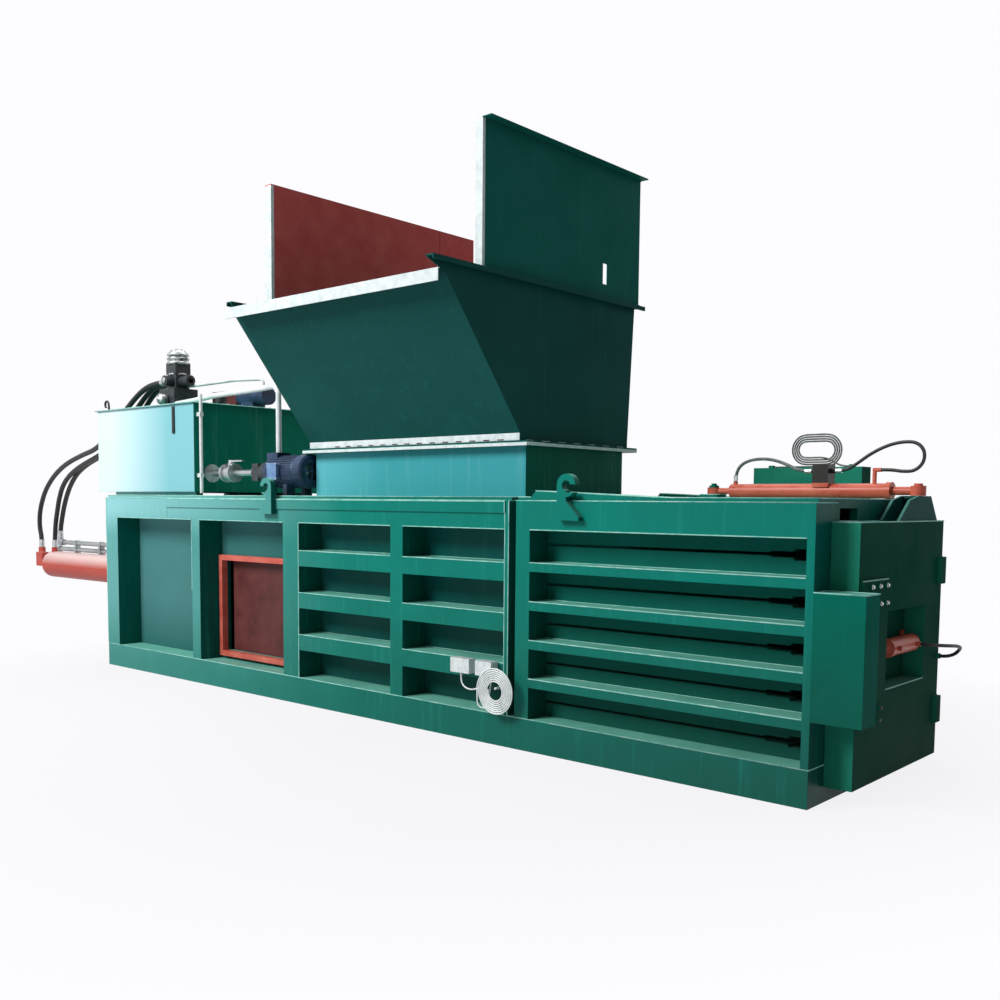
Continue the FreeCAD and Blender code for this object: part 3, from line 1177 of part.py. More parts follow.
# Latch box: a hollow box on the end plate with a slot that takes the lock bolt.
latch_x = (x_end, at_x(d.latch_end))
latch_y = (near_face, -d.latch_far)
latch_z = (d.latch_low, d.latch_high)
shell = box("latch_shell", latch_x, latch_y, latch_z)
wall = d.latch_wall
hollow_x = (latch_x[0] + wall, latch_x[1] - wall)
hollow = box("latch_hollow", hollow_x, (latch_y[0] + wall, latch_y[1] - wall), (latch_z[0] + wall, latch_z[1] - wall))
clear = d.bolt_gap + 6
slot_x = (bolt_mid - d.bolt_wide / 2 - clear, bolt_mid + d.bolt_wide / 2 + clear)
slot_z = (d.bolt_z - d.bolt_tall / 2 - clear, d.bolt_z + d.bolt_tall / 2 + clear)
strike = box("latch_slot", slot_x, (latch_y[1] - wall - 5, latch_y[1] + 5), slot_z)
latch_box = cut("latch_box", shell, [hollow, strike])

# Lock cylinder in the door pocket, its rod and piston, and the sliding bolt.
lock_at = (bolt_mid, d.lock_start, d.bolt_z)
lock_long = d.lock_end - d.lock_start
r_rod = d.lock_rod + d.rod_gap
profile = [(0, r_rod), (0, d.lock_radius), (lock_long, d.lock_radius), (lock_long, 0), (lock_long - 18, 0)]
profile += [(lock_long - 18, d.lock_bore), (18, d.lock_bore), (18, r_rod)]
barrel = turned("lock_barrel", lock_at, "Y", profile)
pieces = [barrel]
foot_x = (at_x(d.pocket_floor), bolt_mid - d.lock_bore - 3)
pieces.append(box("lock_foot_near", foot_x, (d.lock_start, d.lock_start + 40), (d.bolt_z - 60, d.bolt_z + 60)))
pieces.append(box("lock_foot_far", foot_x, (d.lock_end - 40, d.lock_end), (d.bolt_z - 60, d.bolt_z + 60)))
pieces.append(rod("lock_port_near", "X", (bolt_mid + d.lock_bore + 2, d.lock_start + 50, d.bolt_z), 12, 32))
pieces.append(rod("lock_port_far", "X", (bolt_mid + d.lock_bore + 2, d.lock_end - 50, d.bolt_z), 12, 32))
pieces.append(rod("lock_collar", "Y", (bolt_mid, d.lock_start, d.bolt_z), d.lock_radius + 3, 30))
lock_full = fuse("lock_full", pieces)
lock_way = rod("lock_rod_way", "Y", (bolt_mid, d.lock_start - 5, d.bolt_z), r_rod, 30)
lock_bore = rod("lock_bore_way", "Y", (bolt_mid, d.lock_start + 18, d.bolt_z), d.lock_bore, lock_long - 36)
lock_cylinder = cut("lock_cylinder", lock_full, [lock_way, lock_bore])
bolt_x = (bolt_mid - d.bolt_wide / 2, bolt_mid + d.bolt_wide / 2)
bolt_z = (d.bolt_z - d.bolt_tall / 2, d.bolt_z + d.bolt_tall / 2)
pieces = [box("bolt_bar", bolt_x, (-d.bolt_tip, d.bolt_back), bolt_z)]
rod_long = d.lock_piston + 30 - d.bolt_back
pieces.append(rod("bolt_rod", "Y", (bolt_mid, d.bolt_back, d.bolt_z), d.lock_rod, rod_long))
pieces.append(rod("bolt_piston", "Y", (bolt_mid, d.lock_piston, d.bolt_z), d.lock_bore - d.piston_gap, 30))
pieces.append(rod("bolt_joint", "Y", (bolt_mid, d.bolt_back, d.bolt_z), 26, 40))
lock_bolt = fuse("lock_bolt", pieces)

# Door bracket: two gusset plates and a top plate that the door cylinder pushes on.
outline = [(-60, d.door_high), (80, 1418), (200, d.bracket_top), (360, d.bracket_top), (460, d.door_high)]
bracket_x = (at_x(d.bracket_x) - d.bracket_wide, at_x(d.bracket_x))
pieces = [plate("bracket_back", "YZ", outline, bracket_x[0], d.bracket_plate)]
pieces.append(plate("bracket_front", "YZ", outline, bracket_x[1] - d.bracket_plate, d.bracket_plate))
pieces.append(box("bracket_top", bracket_x, (200, 360), (d.bracket_top - d.bracket_plate, d.bracket_top)))
pieces.append(box("bracket_web", bracket_x, (272, 288), (d.door_high, d.bracket_top)))
door_bracket = fuse("door_bracket", pieces)

# Tail bracket on the bale roof with its fixed pin.
tail_x = at_x(d.lift_tail)
eye_low = d.lift_z - d.eye_half
eye_high = d.lift_z + d.eye_half
pieces = [box("tail_block", (tail_x - 60, tail_x + 50), (d.lift_y - 55, d.lift_y + 55), (deck_top, eye_low - d.hinge_space))]
pieces.append(rod("tail_pin", "Z", (tail_x, d.lift_y, deck_top), d.eye_pin, eye_high + 24 - deck_top))
pieces.append(rod("tail_cap", "Z", (tail_x, d.lift_y, eye_high + d.hinge_space), 28, 12))
tail_bracket = fuse("tail_bracket", pieces)

# Door cylinder barrel with its tail eye, ports and the block that carries the hose fittings.
lift_at = (at_x(d.lift_start), d.lift_y, d.lift_z)
lift_long = d.lift_end - d.lift_start
r_rod = d.lift_rod + d.rod_gap
profile = [(0, 0), (0, d.lift_radius), (lift_long - 30, d.lift_radius), (lift_long - 30, d.lift_radius + 6)]
profile += [(lift_long, d.lift_radius + 6), (lift_long, r_rod), (lift_long - 25, r_rod), (lift_long - 25, d.lift_bore)]
profile += [(25, d.lift_bore), (25, 0)]
pieces = [turned("lift_barrel", lift_at, "X", profile)]
pieces.append(rod("lift_neck", "X", (tail_x, d.lift_y, d.lift_z), 18, d.lift_start - d.lift_tail + 10))
pieces.append(rod("lift_eye", "Z", (tail_x, d.lift_y, eye_low), d.eye_radius, d.eye_half * 2))
saddle_x = (at_x(d.block_start), at_x(d.block_end))
saddle_y = (d.lift_y - d.block_half, d.lift_y + d.block_half)
pieces.append(box("lift_block", saddle_x, saddle_y, (d.lift_z + 20, d.block_top)))
port_tail = at_x(d.port_tail_at)
port_rod = at_x(d.port_rod_at)
pieces.append(rod("lift_port_tail", "Z", (port_tail, d.lift_y, d.lift_z + 20), 13, 34))
elbow_z = d.lift_z + 110
pieces.append(rod("lift_port_rod", "Z", (port_rod, d.lift_y, d.lift_z + 20), 11, 98))
pieces.append(rod("lift_elbow", "X", (port_rod - 8, d.lift_y, elbow_z), 11, 44))
block_port_z = d.block_top - 36
pieces.append(rod("block_port_rear", "X", (saddle_x[0] - 20, d.lift_y, block_port_z), 13, 20))
pieces.append(rod("block_port_front", "X", (saddle_x[1], d.lift_y, block_port_z), 13, 20))
lift_full = fuse("lift_full", pieces)
tools = [rod("lift_bore_way", "X", (at_x(d.lift_start) + 25, d.lift_y, d.lift_z), d.lift_bore, lift_long - 50)]
tools.append(rod("lift_eye_way", "Z", (tail_x, d.lift_y, eye_low - 5), d.eye_pin + d.hinge_gap, d.eye_half * 2 + 10))
door_cylinder = cut("door_cylinder", lift_full, tools)

# Door cylinder rod: piston, rod and the eye over the door bracket.
pin_x = at_x(d.lift_pin)
piston_x = at_x(d.lift_piston)
pieces = [rod("lift_piston", "X", (piston_x, d.lift_y, d.lift_z), d.lift_bore - d.piston_gap, 40)]
pieces.append(rod("lift_rod", "X", (piston_x, d.lift_y, d.lift_z), d.lift_rod, pin_x - piston_x))
fork_low = d.bracket_top + d.eye_gap
pieces.append(rod("rod_eye", "Z", (pin_x, d.lift_y, fork_low), d.eye_radius, d.lift_z + 26 - fork_low))
pieces.append(rod("rod_pin_head", "Z", (pin_x, d.lift_y, d.lift_z + 26), 22, 12))
door_cylinder_rod = fuse("door_cylinder_rod", pieces)

# Door valve box on the far side of the bale roof.
valve_x = (at_x(d.valve_box_start), at_x(d.valve_box_end))
foot_x = (x_k + 850 + d.seat_gap, valve_x[1])
foot_top = deck_top + d.valve_box_foot
pieces = [box("valve_box_case", valve_x, (d.valve_box_near, d.deck_half), (foot_top, d.valve_box_high))]
pieces.append(box("valve_box_foot", foot_x, (d.valve_box_near, d.deck_half), (deck_top, foot_top)))
wound_y = float(d.wound_at_y)
lead_z = float(d.valve_box_high) + float(d.wound_radius) + float(d.seat_gap)
for name, start, across in (("in", d.wound_in - 30, wound_y), ("out", d.wound_out, wound_y - 16)):
    ends = (at_x(start), at_x(start) + 30)
    pieces.append(box("lead_gland_" + name, ends, (across - 12, across + 12), (d.valve_box_high, lead_z + 10)))
door_valve_box = fuse("door_valve_box", pieces)

# White conduit over the tank and down to the motor's terminal box, with the pipes beside it.
c_x = float(at_x(0))
top_z = float(term_top)
run = [(c_x + 660, -430, 2160), (c_x + 960, -470, 2164), (c_x + 1300, -500, 2182)]
run += [(c_x + 1690, -503, 2190), (c_x + 2090, -500, 2205), (c_x + 2090, -500, top_z)]
pieces = [hose("run_pipe", run, d.conduit_radius, 60)]
pieces.append(box("run_saddle", (at_x(960) - 20, at_x(960) + 20), (-490, -450), (lid_top, 2160)))
pieces.append(rod("riser_pipe", "Z", (at_x(1275), -610, 1440), 13, 745))
for index, low in enumerate((1560, 2020)):
    pieces.append(box("riser_strap_%d" % index, (at_x(d.tank_front), at_x(1288)), (-626, -594), (low, low + 30)))
back = float(stack_x + d.valve_half + d.seat_gap)
cool_top = float(d.cooler_axis + d.cooler_radius + d.seat_gap)
line = [(back, -252, 2320), (back + 130, -252, 2320), (c_x + 900, -40, 2366), (c_x + 1160, float(d.cooler_y), 2366)]
line.append((c_x + 1160, float(d.cooler_y), cool_top))
pieces.append(hose("return_pipe", line, 12, 60))
conduit = fuse("conduit", pieces)

# Junction boxes on the near face, and the hook that carries the cable coil.
pieces = []
for name, start, long in (("one", d.junction_one, d.junction_one_long), ("two", d.junction_two, d.junction_two_long)):
    ends = (at_x(start), at_x(start) + long)
    z_ends = (d.junction_low, d.junction_low + d.junction_tall)
    pieces.append(box("junction_" + name, ends, (near_face - d.junction_deep, near_face), z_ends))
gland_one = float(at_x(d.junction_one)) + 60
gland_two = float(at_x(d.junction_two)) + 30
gland_three = float(at_x(d.junction_two)) + 96
gland_y = float(near_face) - 30
gland_z = float(d.junction_low) - 18
for index, across in enumerate((gland_one, gland_two, gland_three)):
    pieces.append(rod("cable_gland_%d" % index, "Z", (across, gland_y, gland_z), 9, 18))
peg_y = near_face - d.flange_proud - d.peg_long
pieces.append(rod("coil_peg", "Y", (at_x(d.peg_at), peg_y, d.peg_z), d.peg_radius, d.peg_long))
junction_boxes = fuse("junction_boxes", pieces)

def measured(points):
    """Route points given from the body's rear end, its near face and the floor."""
    return [(float(at_x(x)), y - 700.0, float(z)) for x, y, z in points]


# Three pressure hoses from the valve stack to the cylinder's rear port, second port and long pipe.
port_top = float(d.cyl_z + d.cyl_radius - 10 + d.port_high + 10)
ports_y = [float(value) + 700.0 for value in port_ways]
port_out = float(port_x) - float(x_rear)
port_up = float(coil_z)
near_y, middle_y, far_y = ports_y
line_one = [(port_out, near_y, port_up), (200, near_y, port_up), (20, 345, 2318), (-200, 332, 2190), (-520, 350, 1990)]
line_one += [(-924, 425, 1848), (-1325, 466, 1794), (-1692, 500, 1722), (-2000, 533, 1616), (-2240, 562, 1482)]
line_one += [(-2400, 592, 1350), (-2487, 608, 1225), (-2514, 618, 1095), (-2490, 626, 985), (-2490, 626, port_top)]
hose_one = hose("hose_one", measured(line_one), d.hose_radius)
line_two = [(port_out, middle_y, port_up), (190, middle_y, port_up), (10, 405, 2304), (-220, 420, 2172), (-520, 435, 1972)]
line_two += [(-830, 470, 1832), (-1130, 503, 1768), (-1439, 530, 1705), (-1720, 556, 1622), (-1925, 582, 1518)]
line_two += [(-2062, 610, 1385), (-2150, 634, 1275), (-2235, 656, 1165), (-2310, 683, 1055), (-2335, 690, 958), (-2335, 690, port_top)]
hose_two = hose("hose_two", measured(line_two), d.hose_radius)
fitting_top = float(high_z) + 40
line_three = [(port_out, far_y, port_up), (190, far_y, port_up), (0, 460, 2296), (-240, 490, 2152), (-540, 515, 1960)]
line_three += [(-860, 538, 1835), (-1190, 560, 1769), (-1450, 580, 1708), (-1660, 598, 1632), (-1840, 622, 1525)]
line_three += [(-1975, 650, 1425), (-2080, 672, 1320), (-2160, 692, 1225), (-2212, 699, 1125), (-2230, 700, 1050), (-2230, 700, fitting_top)]
hose_three = hose("hose_three", measured(line_three), d.hose_radius)

# Two thin hoses on the door cylinder, from its block to its tail port and its rod port.
lift = float(d.lift_y) + 700
tail_top = float(d.lift_z) + 54
block_z = float(block_port_z)
line = [(5305, lift, tail_top), (5305, lift, 1572), (5345, lift + 3, 1626), (5425, lift + 8, 1648)]
line += [(5525, lift + 10, 1644), (5620, lift + 6, 1612), (5700, lift, block_z), (5770, lift, block_z)]
tail_hose = hose("tail_hose", measured(line), d.small_hose)
elbow_up = float(elbow_z)
line = [(5900, lift, block_z), (5955, lift, block_z), (6012, lift + 3, 1606), (6085, lift + 8, 1660)]
line += [(6170, lift + 13, 1702), (6250, lift + 15, 1720), (6325.6, lift + 12, 1716), (6368.9, lift + 8, 1672.6)]
line += [(6368.9, lift + 4, 1611.4), (6325.6, lift + 2, 1568), (6262, lift + 1, 1566), (6205, lift, elbow_up)]
line.append((6153, lift, elbow_up))
rod_hose = hose("rod_hose", measured(line), d.small_hose)

# Lock hose: from the lock cylinder's far port over the door face to its fitting.
lock_out = float(d.bolt_x) + float(d.lock_bore) + 34
port_y = float(d.lock_end) - 50 + 700
line = [(lock_out, port_y, 690), (6466, port_y, 690), (6506, 968, 688), (6530, 1020, 684), (6538, 1085, 678)]
line += [(6535, 1146, 668), (6524, 1200, 652), (6490, 1224, 616), (6446, 1220, 600), (6416, 1220, 600)]
lock_hose = hose("lock_hose", measured(line), d.small_hose)

# White cable: a link between the junction boxes, a lead, and the coil that hangs on the peg.
cable_y = gland_y + 700
one = gland_one - float(x_rear)
two = gland_two - float(x_rear)
line = [(one, cable_y, gland_z), (one, cable_y, 352), (one + 16, cable_y - 2, 324), (one + 48, cable_y - 4, 309)]
line += [(one + 86, cable_y - 4, 306), (one + 124, cable_y - 3, 315), (one + 152, cable_y - 1, 330), (two, cable_y, 356), (two, cable_y, gland_z)]
box_cable = hose("box_cable", measured(line), d.cable_radius)
coil_x = 4408.0
coil_z_mid = 323.0
coil_y = -66.0
rows = int(d.coil_rows)
outer = float(d.coil_inner) + rows * float(d.coil_pitch)
three = gland_three - float(x_rear)
left_x = coil_x - outer
tail = 2 * float(d.cable_radius)
line = [(three, cable_y, gland_z), (three, cable_y, 346), (three - 5, cable_y - 3, 306), (three - 7, cable_y - 6, 268)]
line += [(three - 8, cable_y - 11, 236), (three - 26, cable_y - 18, 217), (left_x + 19, coil_y + 9, 217), (left_x + 1, coil_y + 2, 236)]
line += [(left_x, coil_y, 268), (left_x, coil_y, 285), (left_x, coil_y, coil_z_mid - tail)]
line = line[:9] + line[10:]
coil_lead = hose("coil_lead", measured(line), d.cable_radius)


def half_turn(centre, radius, side, y):
    """One half circle in the plane of the coil, over the top (1) or under the bottom (-1)."""
    first = V(centre - radius * side, y, coil_z_mid)
    middle = V(centre, y, coil_z_mid + radius * side)
    last = V(centre + radius * side, y, coil_z_mid)
    return Part.Arc(first, middle, last).toShape()


plane_y = coil_y - 700
start = V(float(at_x(left_x)), plane_y, coil_z_mid - tail)
edges = [Part.LineSegment(start, V(start.x, plane_y, coil_z_mid)).toShape()]
centre = float(at_x(coil_x))
radius = outer
side = 1
samples = []
for index in range(2 * rows):
    edges.append(half_turn(centre, radius, side, plane_y))
    for step in range(24):
        angle = math.pi * (1 - step / 24.0)
        samples.append((centre + side * radius * math.cos(angle), coil_z_mid + side * radius * math.sin(angle)))
    smaller = radius - float(d.coil_pitch) / 2
    centre += side * (radius - smaller)
    radius = smaller
    side = -side
last = V(centre - radius * side, plane_y, coil_z_mid)
edges.append(Part.LineSegment(last, V(last.x, plane_y, coil_z_mid + side * tail)).toShape())
coil_wire = Part.Wire(edges)


def wound(name, wire, start, way, radius, spots, skip):
    """A tube along a wound path, with the least gap between its loops."""
    gaps = []
    for one in range(len(spots)):
        for other in range(one + skip, len(spots)):
            gaps.append(math.hypot(spots[one][0] - spots[other][0], spots[one][1] - spots[other][1]))
    print("%s: length %.0f, least gap between loops %.2f" % (name, wire.Length, min(gaps) - 2 * radius))
    ring = Part.Wire([Part.makeCircle(radius, start, way)])
    tube = doc.addObject("Part::Feature", name)
    tube.Shape = wire.makePipeShell([ring], True, False)
    ideal = math.pi * radius ** 2 * wire.Length
    print("  volume over section times length: %.4f" % (tube.Shape.Volume / ideal))
    return tube


cable_coil = wound("cable_coil", coil_wire, start, V(0, 0, 1), float(d.cable_radius), samples, 36)

# Control lead: it leaves a gland on the valve box, lies there in flat oval loops and enters a second gland.
radius = float(d.wound_outer)
shrink = float(d.wound_pitch) / 2
middle_z = lead_z + radius
ends_x = (float(at_x(d.wound_mid - d.wound_half)), float(at_x(d.wound_mid + d.wound_half)))
start = V(float(at_x(d.wound_in)), wound_y, lead_z)
at = start
edges = []
samples = []
side = 1
for index in range(2 * int(d.wound_rows)):
    turn_x = ends_x[1] if side == 1 else ends_x[0]
    first = V(turn_x, wound_y, at.z)
    last = V(turn_x, wound_y, at.z + 2 * side * radius)
    edges.append(Part.LineSegment(at, first).toShape())
    middle = V(turn_x + side * radius, wound_y, at.z + side * radius)
    edges.append(Part.Arc(first, middle, last).toShape())
    for step in range(5):
        samples.append((at.x + (first.x - at.x) * step / 5, at.z))
    for step in range(24):
        angle = math.pi * step / 24
        samples.append((turn_x + side * radius * math.sin(angle), middle.z - side * radius * math.cos(angle)))
    at = last
    radius -= shrink
    side = -side
low = at.z
out_y = wound_y - 16
out_x = float(at_x(d.wound_out))
tail_run = [(at.x, wound_y, low), (at.x + 50, wound_y, low), (at.x + 105, wound_y - 12, low)]
tail_run += [(at.x + 160, out_y, low - 14), (out_x - 55, out_y, lead_z), (out_x, out_y, lead_z)]
edges += route(tail_run, float(d.wound_radius), "lead_tail").Edges
lead_coil = wound("lead_coil", Part.Wire(edges), start, V(1, 0, 0), float(d.wound_radius), samples, 40)

NODES = [base_frame, near_rear_frame, far_rear_frame, near_feed_frame, far_feed_frame, near_bale_frame]
NODES += [far_bale_frame, near_side_sheet, far_side_sheet, near_bale_wall, far_bale_wall, rear_wall]
NODES += [top_deck, bale_roof, window_frame, feed_collar, feed_hopper, left_guard, right_guard]
NODES += [lifting_hooks, oil_tank, tank_fittings, valve_manifold, solenoid_valves, cooler_motor]
NODES += [cooler_pump, drive_motor, motor_cowl, motor_rotor, oil_pump, suction_line]
NODES += [valve_lever, main_barrel, cylinder_head, main_rod, cylinder_cradle, oil_pipes, ram, door]
NODES += [hinge_brackets, latch_box, lock_cylinder, lock_bolt, door_bracket, tail_bracket]
NODES += [door_cylinder, door_cylinder_rod, door_valve_box, conduit, junction_boxes]
CORDS = [hose_one, hose_two, hose_three, tail_hose, rod_hose, lock_hose, box_cable, coil_lead, cable_coil]
CORDS.append(lead_coil)
NODES += CORDS

doc.recompute()
faults = 0
for item in doc.Objects:
    if "Invalid" in item.State or "Error" in item.State:
        print("FAULT in", item.Name, item.State)
        faults += 1
for item in NODES:
    if item.Shape.isNull() or not item.Shape.isValid():
        print("BAD SHAPE", item.Label)
        faults += 1
if faults:
    raise SystemExit("%d faults" % faults)
os.makedirs("parts", exist_ok=True)
for item in NODES:
    item.Shape.exportStep("parts/" + item.Label + ".step")
    if len(item.Shape.Solids) > 1:
        print(item.Label, len(item.Shape.Solids), "solids")
print(len(NODES), "nodes")
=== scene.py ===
# %% [markdown]
# # A horizontal recycling baler
# A baler presses loose card or plastic into tied bales. A long welded body lies on the floor, a
# hopper feeds it from above, an oil tank and pumps stand on its rear end, and a long cylinder
# pushes a ram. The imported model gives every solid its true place, so this script only dresses it:
# it keeps the model's box for the size rule, and then adds paint, hoses, welds, bolts and fittings.

# %% Load the frame
import bpy
import bmesh
import math
from mathutils import Matrix, Vector


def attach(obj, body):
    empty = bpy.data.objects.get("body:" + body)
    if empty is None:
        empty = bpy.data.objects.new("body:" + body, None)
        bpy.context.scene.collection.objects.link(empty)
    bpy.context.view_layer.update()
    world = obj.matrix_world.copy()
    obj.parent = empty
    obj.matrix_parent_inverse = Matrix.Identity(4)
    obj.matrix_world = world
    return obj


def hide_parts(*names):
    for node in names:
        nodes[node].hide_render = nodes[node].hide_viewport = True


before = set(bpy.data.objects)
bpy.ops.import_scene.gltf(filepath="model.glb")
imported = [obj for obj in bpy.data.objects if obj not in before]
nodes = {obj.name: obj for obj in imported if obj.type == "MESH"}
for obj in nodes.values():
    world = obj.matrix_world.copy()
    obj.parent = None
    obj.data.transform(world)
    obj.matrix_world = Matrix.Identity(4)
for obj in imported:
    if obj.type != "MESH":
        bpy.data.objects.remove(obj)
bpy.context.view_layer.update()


def in_scene(name, data):
    """A new object, linked to the scene."""
    made = bpy.data.objects.new(name, data)
    bpy.context.scene.collection.objects.link(made)
    return made


# %% [markdown]
# ## The camera
# The photograph was taken at eye height from the door end's near corner. The camera's place, turn
# and focal length were recovered from the body's straight edges, so it is set by numbers. The
# picture is shifted up a little instead of tilting the camera, which keeps upright edges upright.

# %% Camera
yaw, pitch, roll = (math.radians(angle) for angle in (41.30, 4.50, -0.50))
eye = (5.206, -5.198, 1.389)
focal_mm = 38.19
film_mm = 36
upward_shift = 0.0859
flat_reach = math.cos(pitch)
ahead = Vector((-math.sin(yaw) * flat_reach, math.cos(yaw) * flat_reach, -math.sin(pitch)))
level = Vector((math.cos(yaw), math.sin(yaw), 0))
down = ahead.cross(level)
right = level * math.cos(roll) + down * math.sin(roll)
under = down * math.cos(roll) - level * math.sin(roll)
lens = bpy.data.cameras.new("eye_height_camera")
lens.lens = focal_mm
lens.sensor_width = film_mm
lens.shift_y = upward_shift
lens.clip_end = 200
camera = in_scene("eye_height_camera", lens)
turn = Matrix((right, -under, -ahead)).transposed().to_4x4()
camera.matrix_world = Matrix.Translation(eye) @ turn
bpy.context.scene.camera = camera
print("camera looks along", [round(v, 3) for v in ahead])

# %% [markdown]
# ## Small tools for materials
# Paint charts give colours as sRGB hex values, but shaders work in linear light, so one function
# turns them over. A second one gives a node its inputs, and a third adds a node with its settings
# and inputs, so that each material below is short enough to read as a recipe.

# %% Colour and node helpers
colours = {"data_type": "RGBA"}
times = {"operation": "MULTIPLY"}


def linear(hex_colour):
    """An sRGB hex value as a linear colour with alpha."""
    values = [int(hex_colour[i:i + 2], 16) / 255 for i in (0, 2, 4)]
    return (*(v / 12.92 if v <= 0.04045 else ((v + 0.055) / 1.055) ** 2.4 for v in values), 1.0)


def feed(item, **inputs):
    """Gives a node its inputs. An input goes by its name, or by number as in i3, and its value is
    (node, output) for a link and anything else for a constant."""
    for key, value in inputs.items():
        numbered = key[0] == "i" and key[1:].isdigit()
        socket = item.inputs[int(key[1:]) if numbered else key.replace("_", " ")]
        if isinstance(value, tuple) and hasattr(value[0], "outputs"):
            item.id_data.links.new(value[0].outputs[value[1]], socket)
        else:
            socket.default_value = value


def add(tree, kind, settings=None, **inputs):
    """A new node with its settings and inputs."""
    item = tree.nodes.new(kind)
    for key, value in (settings or {}).items():
        setattr(item, key, value)
    feed(item, **inputs)
    return item


def material(name):
    """An empty node material, its tree and its Principled shader."""
    made = bpy.data.materials.new(name)
    made.use_nodes = True
    return made, made.node_tree, made.node_tree.nodes["Principled BSDF"]


print("teal in linear light:", [round(v, 3) for v in linear("0E7A6C")])

# %% [markdown]
# ## Relief of sprayed plate
# The body is hot-rolled plate, sprayed with an air-drying enamel. Its edges are slightly rounded by
# grinding, so they catch a line of light, and a bevel normal does that without more faces. Thin
# plate also buckles a little between its welds, and the paint has a fine orange peel.

# %% Relief of sprayed plate
ground_edge = 0.004
buckles_per_metre = 2.6
# Orange peel is about 3 mm across on the real paint; it is drawn at 12 mm so that it shows.
peel_per_metre = 85.0


def plate_relief(tree, shader, spot):
    """Rounded edges, buckled sheet and orange peel as one normal."""
    peel = add(tree, "ShaderNodeTexNoise", Vector=spot, Scale=peel_per_metre, Detail=2.0)
    buckle = add(tree, "ShaderNodeTexNoise", Vector=spot, Scale=buckles_per_metre, Detail=1.0)
    rounded = add(tree, "ShaderNodeBevel", {"samples": 4}, Radius=ground_edge)
    wave = add(tree, "ShaderNodeBump", Height=(buckle, 0), Strength=0.25, Distance=0.012,
        Normal=(rounded, 0))
    skin = add(tree, "ShaderNodeBump", Height=(peel, 0), Strength=0.12, Distance=0.0006,
        Normal=(wave, 0))
    feed(shader, Normal=(skin, 0))


print("orange peel drawn at", round(1000 / peel_per_metre), "mm")
